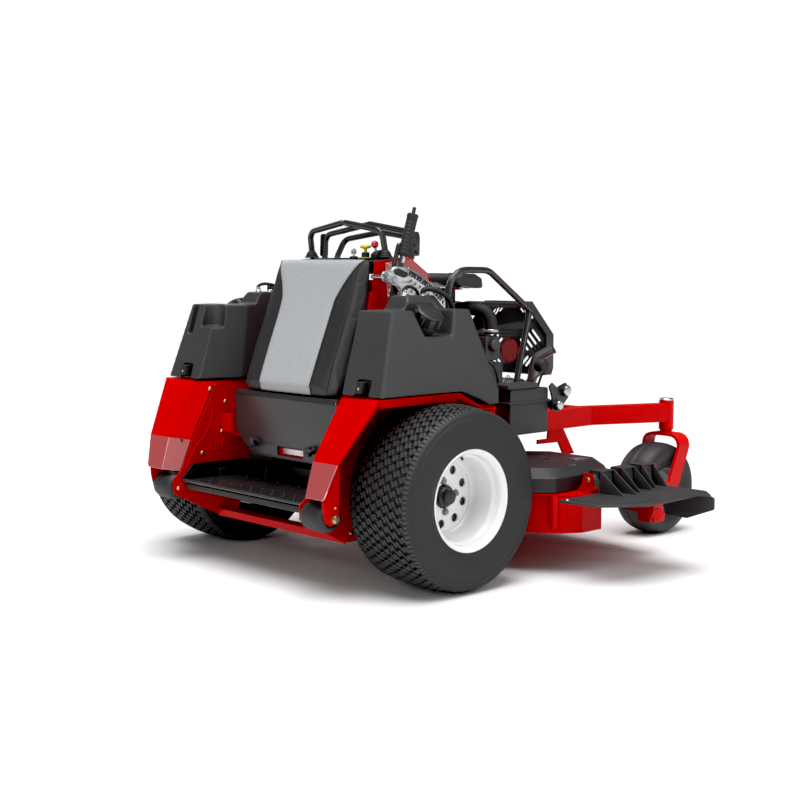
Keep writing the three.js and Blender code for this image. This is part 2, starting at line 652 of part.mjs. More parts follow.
function casterTyre() {
  const { x, axleY, radius, half } = CASTER;
  const side = [[82, 56], [96, 62], [130, half], [158, 68], [173, 46], [radius, 0]];
  const profile = [...side, ...side.slice(0, -1).reverse().map(([r, t]) => [r, -t])].map(([r, t]) => [r, x + t]);
  return turned('x', [...profile, profile[0]], [axleY, radius], 22);
}
addPair('caster_tyre', casterTyre(), rubber);

function casterRim() {
  const { x, axleY, radius } = CASTER;
  const side = [[9, 74], [24, 74], [24, 26], [66, 24], [80.5, 56]];
  const profile = [...side, ...side.slice().reverse().map(([r, t]) => [r, -t])].map(([r, t]) => [r, x + t]);
  return turned('x', [...profile, profile[0]], [axleY, radius], 16);
}
addPair('caster_rim', casterRim(), castGrey);

// ---------------------------------------------------------------- cutting deck
const RIGHT_EDGE = [
  [440, 334], [560, 345], [650, 384], [715, 438], [752, 500], [752, 880], [700, 950], [560, 985],
];
const DECK_PLAN = [[-200, 350], [200, 350], ...RIGHT_EDGE, ...flipX(RIGHT_EDGE)];

function deckShell() {
  const { low, top, wall, flange, discharge } = DECK;
  const skin = prism('z', DECK_PLAN, low, top);
  const rim = prism('z', grown(DECK_PLAN, flange), top - 5, top);
  const chamber = prism('z', grown(DECK_PLAN, -wall), low - 20, top - 6);
  const exit = block([740, 790], discharge, [low - 20, top - 14]);
  const shafts = Object.values(SPINDLES).map((centre) => bar('z', 40, low, top + 20, centre, 12));
  const rib = prism('z', [[688, 402], [706, 398], [716, 412], [700, 424]], 160, top - 4);
  const hinge = [[706, top - 4], [766, top - 4], [774, 300], [774, 345], [738, 345], [730, 310]];
  const brackets = [prism('y', hinge, 520, 527), prism('y', hinge, 873, 880)];
  const pin = bar('y', 6, 521, 879, CHUTE_HINGE, 8);
  const lug = block([388, 412], [812, 860], [top - 4, 330]);
  return join(cut(join(skin, rim), chamber, exit, ...shafts), rib, ...brackets, pin, lug, mirrored(lug));
}
add('deck_shell', deckShell(), red);

// Belt cover: an open-bottomed lid with chamfered sides, clear of the pulley inside.
function beltCover() {
  const foot = [
    [300, 360], [620, 345], [700, 420], [700, 520], [660, 740], [600, 800], [360, 800], [270, 720], [270, 420],
  ];
  const crown = grown(foot, -45);
  const lid = join(prism('z', foot, DECK.top + 1, 330), loft(foot, crown, 330, 362));
  const hollow = [prism('z', grown(foot, -4), 260, 328), prism('z', crown, 320, 357)];
  return cut(lid, ...hollow, bar('z', 20, 300, 400, SPINDLES.right, 12));
}
addPair('belt_cover', beltCover(), darkPlastic);

// Spindle, pulley and blade in one turning piece.
function spindleBlade([x, y]) {
  const shaftSide = [
    [0, 146], [24, 146], [36, 166], [36, 284], [16, 288], [16, 298], [66, 298], [60, 305], [66, 312], [14, 312],
    [14, 340], [0, 340],
  ];
  const reach = BLADE_REACH;
  const plan = [[-reach, -14], [10 - reach, -30], [reach, -30], [reach, 14], [reach - 10, 30], [-reach, 30]];
  return join(turned('z', shaftSide, [x, y], 12), prism('z', plan, 150, 157).translate(x, y, 0));
}
for (const [place, centre] of Object.entries(SPINDLES))
  add(`spindle_blade_${place}`, spindleBlade(centre), zinc);

// Discharge chute: flat deflector, three stepped ribs up to the hinge and a front lip.
function chute() {
  const plan = [
    [778, 344], [820, 344], [933, 358], [1030, 490], [1033, 560], [1018, 785], [1070, 797], [1000, 866], [778, 866],
  ];
  const plate = prism('z', plan, 268, 276);
  const ribSide = (reach) => [[738, 300], [738, 352], [790, 352], [790 + reach, 270], [779, 270], [779, 300]];
  const rib = (y, width, reach) => prism('y', ribSide(reach), y, y + width);
  const ribs = [rib(550, 72, 108), rib(664, 72, 88), rib(778, 66, 66)];
  const spine = prism('y', [[779, 270], [785, 270], [785, 318], [779, 318]], 548, 864);
  const lip = prism('y', [[830, 270], [1040, 270], [1062, 262], [1062, 222], [950, 178], [860, 180]], 822, 828);
  const knuckles = [bar('y', 14, 531, 560, CHUTE_HINGE, 10), bar('y', 14, 838, 869, CHUTE_HINGE, 10)];
  const links = [block([758, 782], [531, 558], [300, 325]), block([758, 782], [842, 866], [300, 325])];
  return cut(join(plate, ...ribs, spine, lip, ...knuckles, ...links), bar('y', 7, 500, 900, CHUTE_HINGE, 8));
}
add('discharge_chute', chute(), rubber);

export default machine;
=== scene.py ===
import math
import bmesh
import bpy
from mathutils import Matrix, Vector
from mathutils.bvhtree import BVHTree


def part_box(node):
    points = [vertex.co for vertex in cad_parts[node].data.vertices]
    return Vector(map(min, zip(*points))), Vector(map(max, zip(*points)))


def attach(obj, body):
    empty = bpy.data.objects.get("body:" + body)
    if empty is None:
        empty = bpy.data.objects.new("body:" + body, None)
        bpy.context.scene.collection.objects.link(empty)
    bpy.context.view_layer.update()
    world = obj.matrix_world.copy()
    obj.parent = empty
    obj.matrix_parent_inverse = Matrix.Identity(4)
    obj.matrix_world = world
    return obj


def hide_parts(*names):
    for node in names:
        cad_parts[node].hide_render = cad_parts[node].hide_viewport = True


# A stand-on zero turn mower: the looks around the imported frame. Shapes are drawn in millimetres about
# the machine datum, which is the drive axle's line on the centre plane, at ground level.
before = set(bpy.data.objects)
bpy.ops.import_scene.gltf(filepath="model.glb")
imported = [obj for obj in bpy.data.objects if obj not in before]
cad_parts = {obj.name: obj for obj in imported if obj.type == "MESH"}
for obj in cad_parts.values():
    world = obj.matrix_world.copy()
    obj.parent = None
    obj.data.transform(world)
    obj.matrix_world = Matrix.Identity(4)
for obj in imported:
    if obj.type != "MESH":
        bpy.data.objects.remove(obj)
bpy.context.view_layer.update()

TYRE_LOW, TYRE_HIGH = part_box("drive_tyre_right")
LEFT_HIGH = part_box("drive_tyre_left")[1]
MERGE_DISTANCE = 0.00002
DATUM = Vector(((TYRE_LOW.x + LEFT_HIGH.x) / 2, (TYRE_LOW.y + TYRE_HIGH.y) / 2, 0.0))
MM = 0.001


def at(point):
    """A point in millimetres about the machine datum, in the row frame in metres."""
    return Vector(point) * MM + DATUM


# ---------------------------------------------------------------- materials
def surface(name, colour, rough, metal=0.0, coat=0.0, coat_rough=0.05, coat_ior=1.5, shade=0.82,
            patch=9.0, grain=600.0, bump=0.08, vary=0.08, specular=0.5, edge_highlight=0.0, ior=1.5):
    """A finish with patchy colour and roughness, a fine surface grain and sharp edges painted paler, a
    painted highlight.
    """
    material = bpy.data.materials.new(name)
    material.use_nodes = True
    nodes = material.node_tree.nodes
    link = material.node_tree.links.new
    shader = nodes["Principled BSDF"]
    shader.inputs["Metallic"].default_value = metal
    shader.inputs["Coat Weight"].default_value = coat
    shader.inputs["Coat Roughness"].default_value = coat_rough
    shader.inputs["Coat IOR"].default_value = coat_ior
    shader.inputs["Specular IOR Level"].default_value = specular
    shader.inputs["IOR"].default_value = ior
    place = nodes.new("ShaderNodeTexCoord")
    cloud = nodes.new("ShaderNodeTexNoise")
    cloud.inputs["Scale"].default_value = patch
    cloud.inputs["Detail"].default_value = 6.0
    link(place.outputs["Object"], cloud.inputs["Vector"])
    tint = nodes.new("ShaderNodeValToRGB")
    tint.color_ramp.elements[0].position = 0.3
    tint.color_ramp.elements[0].color = [c * shade for c in colour] + [1.0]
    tint.color_ramp.elements[1].position = 0.7
    tint.color_ramp.elements[1].color = list(colour) + [1.0]
    link(cloud.outputs["Fac"], tint.inputs["Fac"])
    colour_out = tint.outputs["Color"]
    # Sharp convex edges, found by pointiness, are painted paler: a painted highlight along the edges.
    if edge_highlight > 0.0:
        edge = nodes.new("ShaderNodeNewGeometry")
        band = nodes.new("ShaderNodeMapRange")
        band.inputs["From Min"].default_value = 0.53
        band.inputs["From Max"].default_value = 0.62
        band.inputs["To Max"].default_value = edge_highlight
        link(edge.outputs["Pointiness"], band.inputs["Value"])
        edge_highlight_mix = nodes.new("ShaderNodeMixRGB")
        edge_highlight_mix.inputs["Color2"].default_value = [min(1.0, c * 1.5 + 0.06) for c in colour] + [1.0]
        link(band.outputs["Result"], edge_highlight_mix.inputs["Fac"])
        link(colour_out, edge_highlight_mix.inputs["Color1"])
        colour_out = edge_highlight_mix.outputs["Color"]
    link(colour_out, shader.inputs["Base Color"])
    spread = nodes.new("ShaderNodeMapRange")
    spread.inputs["To Min"].default_value = max(0.02, rough - vary)
    spread.inputs["To Max"].default_value = rough + vary
    link(cloud.outputs["Fac"], spread.inputs["Value"])
    link(spread.outputs["Result"], shader.inputs["Roughness"])
    fine = nodes.new("ShaderNodeTexNoise")
    fine.inputs["Scale"].default_value = grain
    fine.inputs["Detail"].default_value = 3.0
    link(place.outputs["Object"], fine.inputs["Vector"])
    relief = nodes.new("ShaderNodeBump")
    relief.inputs["Strength"].default_value = bump
    relief.inputs["Distance"].default_value = 0.0006
    link(fine.outputs["Fac"], relief.inputs["Height"])
    link(relief.outputs["Normal"], shader.inputs["Normal"])
    return material


# Paler sharp edges in these finishes are a painted highlight.
FINISH = {
    "red": surface("red_powder_coat", (0.56, 0.0015, 0.002), 0.42, coat=0.06, coat_rough=0.1,
                   specular=0.1, shade=0.9, grain=900.0, bump=0.03, vary=0.04, edge_highlight=0.12),
    # A brighter, more reflective copy of the red paint, laid only on facets that show a reflection: a
    # painted reflection.
    "red_painted_reflection": surface("red_coat_painted_reflection", (0.62, 0.002, 0.004), 0.3, coat=1.0, coat_rough=0.05,
                         coat_ior=4.0, shade=0.92, grain=900.0, bump=0.02, vary=0.04,
                         specular=0.8, ior=2.4),
    "red_disc": surface("red_disc_print", (0.52, 0.003, 0.005), 0.45, coat=0.3, shade=0.92, bump=0.03),
    "black": surface("black_powder_coat", (0.022, 0.022, 0.024), 0.34, coat=0.35, coat_rough=0.2,
                     grain=1200.0, bump=0.06, edge_highlight=0.2),
    "tank": surface("rotomoulded_tank", (0.043, 0.043, 0.045), 0.5, grain=1500.0, bump=0.22,
                    patch=6.0, shade=0.9, vary=0.05, edge_highlight=0.2),
    "plastic": surface("black_plastic", (0.026, 0.026, 0.028), 0.46, grain=1100.0, bump=0.12, edge_highlight=0.25),
    "cover": surface("satin_steel_cover", (0.050, 0.049, 0.050), 0.36, metal=0.25, coat=0.3,
                     coat_rough=0.25, grain=1300.0, bump=0.05),
    "tyre": surface("turf_tyre", (0.020, 0.020, 0.0205), 0.62, grain=900.0, bump=0.15, shade=0.8,
                    vary=0.07, edge_highlight=0.3),
    "caster_tyre": surface("caster_rubber", (0.022, 0.022, 0.0225), 0.52, grain=900.0, bump=0.12, shade=0.8),
    "roller": surface("roller_rubber", (0.028, 0.028, 0.029), 0.55, grain=800.0, bump=0.12, shade=0.8),
    "white": surface("white_wheel_paint", (0.86, 0.86, 0.86), 0.22, coat=0.8, coat_rough=0.06,
                     shade=0.97, grain=500.0, bump=0.02, vary=0.03),
    "hub": surface("black_hub_paint", (0.009, 0.009, 0.0095), 0.38, coat=0.2, grain=700.0, bump=0.1),
    "grey": surface("grey_paint", (0.24, 0.24, 0.245), 0.4, coat=0.3, grain=900.0, bump=0.06),
    "zinc": surface("bright_zinc", (0.66, 0.69, 0.71), 0.3, metal=1.0, grain=300.0, bump=0.06,
                    patch=30.0, shade=0.75, vary=0.1),
    "gold": surface("yellow_zinc", (0.72, 0.60, 0.34), 0.3, metal=1.0, grain=400.0, bump=0.06,
                    patch=60.0, shade=0.7, vary=0.1),
    "steel": surface("blade_steel", (0.32, 0.32, 0.33), 0.35, metal=1.0, grain=300.0, bump=0.12),
    "muffler": surface("muffler_steel", (0.22, 0.215, 0.21), 0.38, metal=0.9, grain=500.0, bump=0.1,
                       patch=18.0, shade=0.7, vary=0.1),
    "engine": surface("engine_castings", (0.085, 0.086, 0.09), 0.5, metal=0.35, grain=500.0, bump=0.25),
    "vinyl": surface("black_vinyl", (0.030, 0.030, 0.031), 0.44, grain=700.0, bump=0.35, vary=0.05,
                     edge_highlight=0.15),
    "yellow": surface("yellow_plastic", (0.72, 0.66, 0.01), 0.4, coat=0.3, shade=0.93, bump=0.05),
    "ball": surface("red_plastic", (0.55, 0.004, 0.012), 0.25, coat=0.8, shade=0.92, bump=0.02),
    "rubber": surface("chute_rubber", (0.040, 0.040, 0.042), 0.5, grain=700.0, bump=0.2, edge_highlight=0.5),
    "boot": surface("moulded_rubber", (0.018, 0.018, 0.018), 0.6, grain=900.0, bump=0.15),
    "grey_vinyl": surface("grey_vinyl", (0.40, 0.415, 0.43), 0.52, grain=1100.0, bump=0.3, shade=0.86,
                          patch=120.0, vary=0.04),
    "print": surface("pale_print", (0.75, 0.76, 0.76), 0.5, shade=0.9, bump=0.03),
}


# ---------------------------------------------------------------- shapes
AXES = {"x": (0, (1, 2)), "y": (1, (0, 2)), "z": (2, (0, 1))}


def seated(axis, u, v, depth):
    """The point whose two outline coordinates are u and v and whose place along the axis is depth."""
    along, (first, second) = AXES[axis]
    point = [0.0, 0.0, 0.0]
    point[along] = depth
    point[first] = u
    point[second] = v
    return point


def circle(radius, centre=(0.0, 0.0), sides=32, turn=0.0):
    """A round outline of equal sides."""
    return [(centre[0] + radius * math.cos(2 * math.pi * i / sides + turn),
             centre[1] + radius * math.sin(2 * math.pi * i / sides + turn)) for i in range(sides)]


def rounded(outline, radius, steps=4):
    """The outline with each corner turned into an arc as large as fits, up to its own or a common radius."""
    result = []
    count = len(outline)
    sizes = radius if isinstance(radius, (list, tuple)) else [radius] * count
    for i, corner in enumerate(outline):
        here = Vector(corner)
        back = Vector(outline[i - 1]) - here
        ahead = Vector(outline[(i + 1) % count]) - here
        angle = back.angle(ahead)
        if angle > math.radians(172):
            result.append(tuple(here))
            continue
        reach = min(sizes[i] / math.tan(angle / 2), 0.45 * back.length, 0.45 * ahead.length)
        start = here + back.normalized() * reach
        end = here + ahead.normalized() * reach
        for s in range(steps + 1):
            t = s / steps
            result.append(tuple(start * (1 - t) ** 2 + here * 2 * t * (1 - t) + end * t ** 2))
    return result


def moved(outline, du, dv):
    """The outline shifted in its own plane."""
    return [(u + du, v + dv) for u, v in outline]


class Form:
    """Loose mesh data in millimetres about the machine datum."""

    def __init__(self):
        self.points = []
        self.faces = []

    def add(self, points, faces):
        start = len(self.points)
        self.points += [tuple(p) for p in points]
        self.faces += [[start + i for i in face] for face in faces]
        return self

    def rings(self, rings, closed_ring=True, caps=True, loop=False):
        """Quads between rings of points, with flat ends."""
        size = len(rings[0])
        points = [p for ring in rings for p in ring]
        faces = []
        spans = len(rings) if loop else len(rings) - 1
        for r in range(spans):
            base, top = r * size, ((r + 1) % len(rings)) * size
            for i in range(size if closed_ring else size - 1):
                j = (i + 1) % size
                faces.append([base + i, base + j, top + j, top + i])
        if caps and not loop:
            faces.append(list(range(size))[::-1])
            faces.append([(len(rings) - 1) * size + i for i in range(size)])
        return self.add(points, faces)

    def prism(self, axis, outline, low, high):
        """A straight body over an outline."""
        return self.rings([[seated(axis, u, v, d) for u, v in outline] for d in (low, high)])

    def block(self, x, y, z):
        """A box between two values on each axis."""
        return self.prism("z", [(x[0], y[0]), (x[1], y[0]), (x[1], y[1]), (x[0], y[1])], *z)

    def lathe(self, axis, profile, centre, sides=48, loop=False):
        """Turn a profile of (radius, place along the axis); ends of radius zero close the body."""
        rings = [[seated(axis, u, v, t) for u, v in circle(max(r, 0.001), centre, sides)]
                 for r, t in profile]
        return self.rings(rings, loop=loop)

    def tube(self, corners, radius, bend=0.0, sides=16, dome=False, steps=6):
        """A round bar along straight runs joined by round bends."""
        return self.swept(bent(corners, bend, steps) if bend else [Vector(c) for c in corners],
                          radius, sides, dome)

    def hose(self, corners, radius, sides=14, steps=8):
        """A flexible line that runs smoothly through its points."""
        return self.swept(spline(corners, steps), radius, sides, False)

    def swept(self, path, radius, sides=16, dome=False):
        """A round section carried along a path without twist."""
        rings = []
        tangent = (path[1] - path[0]).normalized()
        side = tangent.orthogonal().normalized()
        stations = []
        for i, point in enumerate(path):
            ahead = path[min(i + 1, len(path) - 1)] - path[max(i - 1, 0)]
            new = ahead.normalized()
            side = (tangent.rotation_difference(new) @ side).normalized()
            tangent = new
            stations.append((point, new, side.copy(), radius))
        if dome:
            first, last = stations[0], stations[-1]
            turns = [math.radians(a) for a in (85, 60, 35, 15)]
            head = [(first[0] - first[1] * radius * math.sin(a), first[1], first[2], radius * math.cos(a))
                    for a in turns]
            tail = [(last[0] + last[1] * radius * math.sin(a), last[1], last[2], radius * math.cos(a))
                    for a in reversed(turns)]
            stations = head + stations + tail
        for point, along, across, size in stations:
            up = along.cross(across)
            rings.append([point + across * size * math.cos(2 * math.pi * k / sides)
                          + up * size * math.sin(2 * math.pi * k / sides) for k in range(sides)])
        return self.rings(rings)

    def plate(self, axis, outlines, low, high, edge=1.0, resolution=2):
        """A plate with rounded edges; the outlines after the first are holes."""
        data = bpy.data.curves.new("plate", "CURVE")
        data.dimensions = "2D"
        data.fill_mode = "BOTH"
        data.extrude = (high - low) / 2 - edge
        data.bevel_depth = edge
        data.bevel_resolution = resolution
        data.offset = -edge
        for outline in outlines:
            line = data.splines.new("POLY")
            line.points.add(len(outline) - 1)
            for point, (u, v) in zip(line.points, outline):
                point.co = (u, v, 0.0, 1.0)
            line.use_cyclic_u = True
        carrier = bpy.data.objects.new("plate", data)
        flat = bpy.data.meshes.new_from_object(carrier)
        middle = (low + high) / 2
        points = [seated(axis, p.co.x, p.co.y, middle + p.co.z) for p in flat.vertices]
        self.add(points, [list(f.vertices) for f in flat.polygons])
        bpy.data.objects.remove(carrier)
        bpy.data.curves.remove(data)
        bpy.data.meshes.remove(flat)
        return self

    def turned(self, matrix, pivot=(0.0, 0.0, 0.0)):
        centre = Vector(pivot)
        self.points = [tuple(matrix @ (Vector(p) - centre) + centre) for p in self.points]
        return self

    def placed(self, shift):
        self.points = [tuple(Vector(p) + Vector(shift)) for p in self.points]
        return self

    def merge(self, other):
        return self.add(other.points, other.faces)

    def bolt(self, axis, place, size, height, way=1, kind="hex", flange=True):
        """A bolt head on a surface: place is the foot's centre, way the side that it stands on."""
        centre = [c for c, n in zip(place, "xyz") if n != axis]
        foot = place["xyz".index(axis)]
        if kind == "hex":
            if flange:
                self.lathe(axis, [(0, foot - way), (size * 1.25, foot - way),
                                  (size * 1.25, foot + way * 0.8),
                                  (size * 1.0, foot + way * height * 0.35), (0, foot + way * height * 0.35)],
                           centre, 20)
            rim = foot + way * height
            rings = [[seated(axis, u, v, foot) for u, v in circle(size, centre, 6)],
                     [seated(axis, u, v, rim - way * size * 0.15) for u, v in circle(size, centre, 6)],
                     [seated(axis, u, v, rim) for u, v in circle(size * 0.84, centre, 6)]]
            return self.rings(rings)
        steps = [(math.cos(math.radians(a)), math.sin(math.radians(a))) for a in (0, 20, 40, 60, 78, 90)]
        profile = [(0, foot - way), (size, foot - way)]
        profile += [(size * c, foot + way * height * s) for c, s in steps]
        return self.lathe(axis, profile, centre, 20)


def bent(corners, radius, steps=6):
    """A path along straight runs with a round bend at each inner corner."""
    points = [Vector(c) for c in corners]
    path = [points[0]]
    for i in range(1, len(points) - 1):
        back = (points[i - 1] - points[i]).normalized()
        ahead = (points[i + 1] - points[i]).normalized()
        half = back.angle(ahead) / 2
        limit = 0.49 * min((points[i - 1] - points[i]).length, (points[i + 1] - points[i]).length)
        size = min(radius, limit * math.tan(half))
        reach = size / math.tan(half)
        middle = points[i] + (back + ahead).normalized() * size / math.sin(half)
        spoke = points[i] + back * reach - middle
        axis = spoke.cross(points[i] + ahead * reach - middle).normalized()
        for s in range(steps + 1):
            path.append(middle + Matrix.Rotation((math.pi - 2 * half) * s / steps, 3, axis) @ spoke)
    path.append(points[-1])
    return path


def spline(corners, steps=8):
    """A smooth path through the points."""
    p = [Vector(c) for c in corners]
    p = [p[0] * 2 - p[1]] + p + [p[-1] * 2 - p[-2]]
    path = []
    for i in range(1, len(p) - 2):
        for s in range(steps):
            t = s / steps
            path.append(0.5 * ((2 * p[i]) + (p[i + 1] - p[i - 1]) * t
                               + (2 * p[i - 1] - 5 * p[i] + 4 * p[i + 1] - p[i + 2]) * t ** 2
                               + (3 * p[i] - p[i - 1] - 3 * p[i + 1] + p[i + 2]) * t ** 3))
    path.append(p[-2])
    return path


def mirror(form):
    """The form on the other side of the centre plane."""
    other = Form()
    other.points = [(-x, y, z) for x, y, z in form.points]
    other.faces = [face[::-1] for face in form.faces]
    return other


# ---------------------------------------------------------------- pieces
def cleaned(mesh, flatten=False):
    """Merge a mesh's doubled points, make its flat faces whole if asked, and turn its faces outward."""
    work = bmesh.new()
    work.from_mesh(mesh)
    bmesh.ops.remove_doubles(work, verts=work.verts, dist=MERGE_DISTANCE)
    if flatten:
        bmesh.ops.dissolve_limit(work, angle_limit=math.radians(1.0), verts=work.verts, edges=work.edges)
    bmesh.ops.recalc_face_normals(work, faces=work.faces)
    work.to_mesh(mesh)
    work.free()
    return mesh


def shown(name, mesh):
    """A new object in the scene."""
    obj = bpy.data.objects.new(name, mesh)
    bpy.context.scene.collection.objects.link(obj)
    return obj


def finished(obj, body, finish, bevel, segments, angle, replaces):
    """Give an object its finish, its shading, its rounded edges and its body, and hide the CAD nodes it
    replaces.
    """
    mesh = obj.data
    mesh.materials.clear()
    mesh.materials.append(FINISH[finish])
    mesh.polygons.foreach_set("use_smooth", [True] * len(mesh.polygons))
    mesh.set_sharp_from_angle(angle=math.radians(angle))
    if bevel:
        edge = obj.modifiers.new("edge", "BEVEL")
        edge.width = bevel * MM
        edge.segments = segments
        edge.limit_method = "ANGLE"
        edge.angle_limit = math.radians(28)
        edge.use_clamp_overlap = True
        edge.harden_normals = True
    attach(obj, body)
    if replaces:
        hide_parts(*([replaces] if isinstance(replaces, str) else replaces))
    return obj


def make(name, form, body, finish, bevel=0.0, segments=2, angle=32, replaces=()):
    """Turn a form into a finished piece."""
    mesh = bpy.data.meshes.new(name)
    mesh.from_pydata([at(p) for p in form.points], [], form.faces)
    return finished(shown(name, cleaned(mesh)), body, finish, bevel, segments, angle, replaces)


def pair(name, form, body, finish, replaces="", **options):
    """The right-hand piece and its mirror image; body and node names take _right and _left."""
    for side, shape in (("right", form), ("left", mirror(form))):
        fixed = body in ("chassis", "deck", "lift_shaft")
        make(f"{name}_{side}", shape, body if fixed else f"{body}_{side}", finish,
             replaces=f"{replaces}_{side}" if replaces else (), **options)


def reshaped(node, name, body, finish, bevel=1.0, segments=2, angle=32):
    """A copy of a CAD node's solid with its flat faces whole again and its edges rounded."""
    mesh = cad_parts[node].data.copy()
    mesh.name = name
    return finished(shown(name, cleaned(mesh, flatten=True)), body, finish, bevel, segments, angle, node)


def moulded(node, name, body, finish, voxel=4.0, passes=10):
    """A copy of a CAD solid with the soft edges of a moulding."""
    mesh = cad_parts[node].data.copy()
    mesh.name = name
    obj = shown(name, cleaned(mesh))
    softened(obj, voxel, passes)
    return finished(obj, body, finish, 0.0, 2, 60, node)


def softened(obj, voxel, passes):
    """Remesh a closed solid in small cubes and smooth it."""
    remesh = obj.modifiers.new("remesh", "REMESH")
    remesh.mode = "VOXEL"
    remesh.voxel_size = voxel * MM
    soft = obj.modifiers.new("soft", "SMOOTH")
    soft.factor = 0.5
    soft.iterations = passes
    apply(obj)


def apply(obj):
    """Replace the object's mesh with the result of its modifiers."""
    graph = bpy.context.evaluated_depsgraph_get()
    result = bpy.data.meshes.new_from_object(obj.evaluated_get(graph), depsgraph=graph)
    result.name = obj.data.name
    obj.modifiers.clear()
    obj.data = result


# ---------------------------------------------------------------- drive wheels
AXLE = (0.0, 305.0)
WHEEL_MIDDLE = 577.5
TREAD_HALF = 119.0
PITCHES = 58
COLUMNS = 9
LUG_HEIGHT = 10.5


def crown(t):
    """The tread's outer radius at the distance t from the wheel's middle."""
    return 304.6 - 13.5 * abs(t / 122.0) ** 2.6


def on_wheel(radius, angle, t):
    """A point on the right wheel, at t from its middle plane."""
    return (WHEEL_MIDDLE + t, AXLE[0] + radius * math.cos(angle), AXLE[1] + radius * math.sin(angle))


def lug(form, outline, centre_t, centre_angle, height=LUG_HEIGHT):
    """One tread block over an outline of (across, around) in millimetres about its centre."""
    rings = []
    for drop, scale in ((height, 1.0), (1.2, 0.95), (0.0, 0.89)):
        ring = []
        for u, v in outline:
            t = centre_t + u * scale
            ring.append(on_wheel(crown(t) - drop, centre_angle + v * scale / 300.0, t))
        rings.append(ring)
    form.rings(rings)


def carcass():
    """The tyre without its blocks: sidewalls with their rings, the base of the tread and the beads."""
    outer = [
        (153, 123), (158, 128), (166, 131), (172, 135), (176, 135.5), (180, 138), (200, 143.5),
        (225, 146.3), (250, 145.4), (262, 143.2), (264, 144.2), (267, 143.6), (269, 141.6), (276, 139),
        (279, 139.6), (282, 138.2), (284, 135), (288, 131), (290, 124), (292.5, 118),
    ]
    over = [(crown(t) - LUG_HEIGHT + 0.6, t) for t in (110, 90, 60, 30, 0)]
    half = outer + over
    whole = half + [(r, -t) for r, t in half[-2::-1]]
    inside = [(168, -112), (232, -127), (284, -90), (284, 90), (232, 127), (168, 112)]
    return Form().lathe("x", [(r, WHEEL_MIDDLE + t) for r, t in whole + inside], AXLE, 144, loop=True)


BLOCK_HALF = [(-11.0, 9.7), (-11.0, -8.3), (-12.4, -12.0), (-6.4, -12.0), (-5.1, -9.7), (-0.9, -9.7),
              (-0.9, 9.7)]
BLOCK_TILT = math.radians(24)
SHOULDER_STEPS = ((0.0, 120.5, 11.5), (-1.5, 127.0, 11.0), (-8.0, 134.0, 9.0))


def tread():
    """Nine staggered columns of split blocks, and a row of shoulder blocks on each side."""
    form = Form()
    width = 2 * TREAD_HALF / COLUMNS
    half = [(a * math.cos(BLOCK_TILT) + b * math.sin(BLOCK_TILT),
             b * math.cos(BLOCK_TILT) - a * math.sin(BLOCK_TILT))
            for a, b in BLOCK_HALF]
    other = [(-u, -v) for u, v in half]
    for column in range(COLUMNS):
        t = (column + 0.5) * width - TREAD_HALF
        for step in range(PITCHES):
            angle = 2 * math.pi * (step + 0.5 * (column % 2)) / PITCHES
            for shape in (half, other):
                middle = (sum(u for u, v in shape) / len(shape), sum(v for u, v in shape) / len(shape))
                lug(form, moved(shape, -middle[0], -middle[1]), t + middle[0], angle + middle[1] / 300.0)
    for side in (-1, 1):
        for step in range(PITCHES * 2):
            angle = math.pi * (step + 0.25) / PITCHES
            rings = []
            for radius_shift, t, width_mm in SHOULDER_STEPS:
                base = 294.2 + radius_shift
                rings.append([on_wheel(base + dr, angle + dv * width_mm / 600.0, side * t)
                              for dr, dv in ((-9.0, -1), (0.0, -1), (0.0, 1), (-9.0, 1))])
            form.rings(rings)
    return form


pair("drive_tyre_carcass", carcass(), "drive_wheel", "tyre", replaces="drive_tyre", angle=40)
pair("drive_tyre_tread", tread(), "drive_wheel", "tyre", angle=30)

DISC_AT = 583.0
VENTS = 9
VENT_TURN = math.radians(23)
STUDS = 4
STUD_TURN = math.radians(5)
RIM_SIDE = [
    (153, 447), (153, 452), (166, 447), (167.5, 449), (166.5, 453), (155, 459), (152.5, 464),
    (152.5, 694), (155, 700), (166, 705), (167.8, 708), (167.0, 711), (163.5, 712.4), (159.5, 710.6),
    (157.0, 706.0), (152.5, 702.5), (149.0, 698.0), (147.2, 690.0), (146.8, 680.0), (144.5, 675.5),
    (139.5, 672.5), (137.3, 668.0), (136.4, 655.0), (135.0, 622.0), (133.0, 601.0), (129.5, 591.5),
    (124.0, 587.2), (118.5, 585.6), (118.5, 579.0), (126.0, 579.0), (134.0, 586.0), (139.0, 600.0),
    (141.0, 668.0), (143.0, 500.0), (147.0, 449.0),
]


def rim():
    """The dished rim with its vented disc."""
    form = Form().lathe("x", RIM_SIDE, AXLE, 96, loop=True)
    turns = [2 * math.pi * i / VENTS + VENT_TURN for i in range(VENTS)]
    vents = [circle(14.6, (AXLE[0] + 92 * math.cos(a), AXLE[1] + 92 * math.sin(a)), 28) for a in turns]
    return form.plate("x", [circle(120, AXLE, 72), circle(39, AXLE, 48)] + vents, DISC_AT - 8, DISC_AT, 1.6)


def wheel_hub():
    """The hub flange and its dust cap."""
    return Form().lathe("x", [(0, 533), (28, 533), (28, 551), (66, 551), (66, 574.5), (38, 574.5), (37, 583),
                              (36.5, 592), (34, 596), (27, 598.5), (25.5, 600), (25, 611), (23.5, 614),
                              (20, 615), (0, 615.4)], AXLE, 48)


def wheel_nuts():
    """A flanged nut and a stud end for each stud."""
    form = Form()
    for i in range(STUDS):
        a = 2 * math.pi * i / STUDS + STUD_TURN
        place = [AXLE[0] + 52 * math.cos(a), AXLE[1] + 52 * math.sin(a)]
        form.bolt("x", [DISC_AT] + place, 10.5, 10)
        form.bolt("x", [DISC_AT + 9] + place, 6.5, 5, kind="dome")
    return form


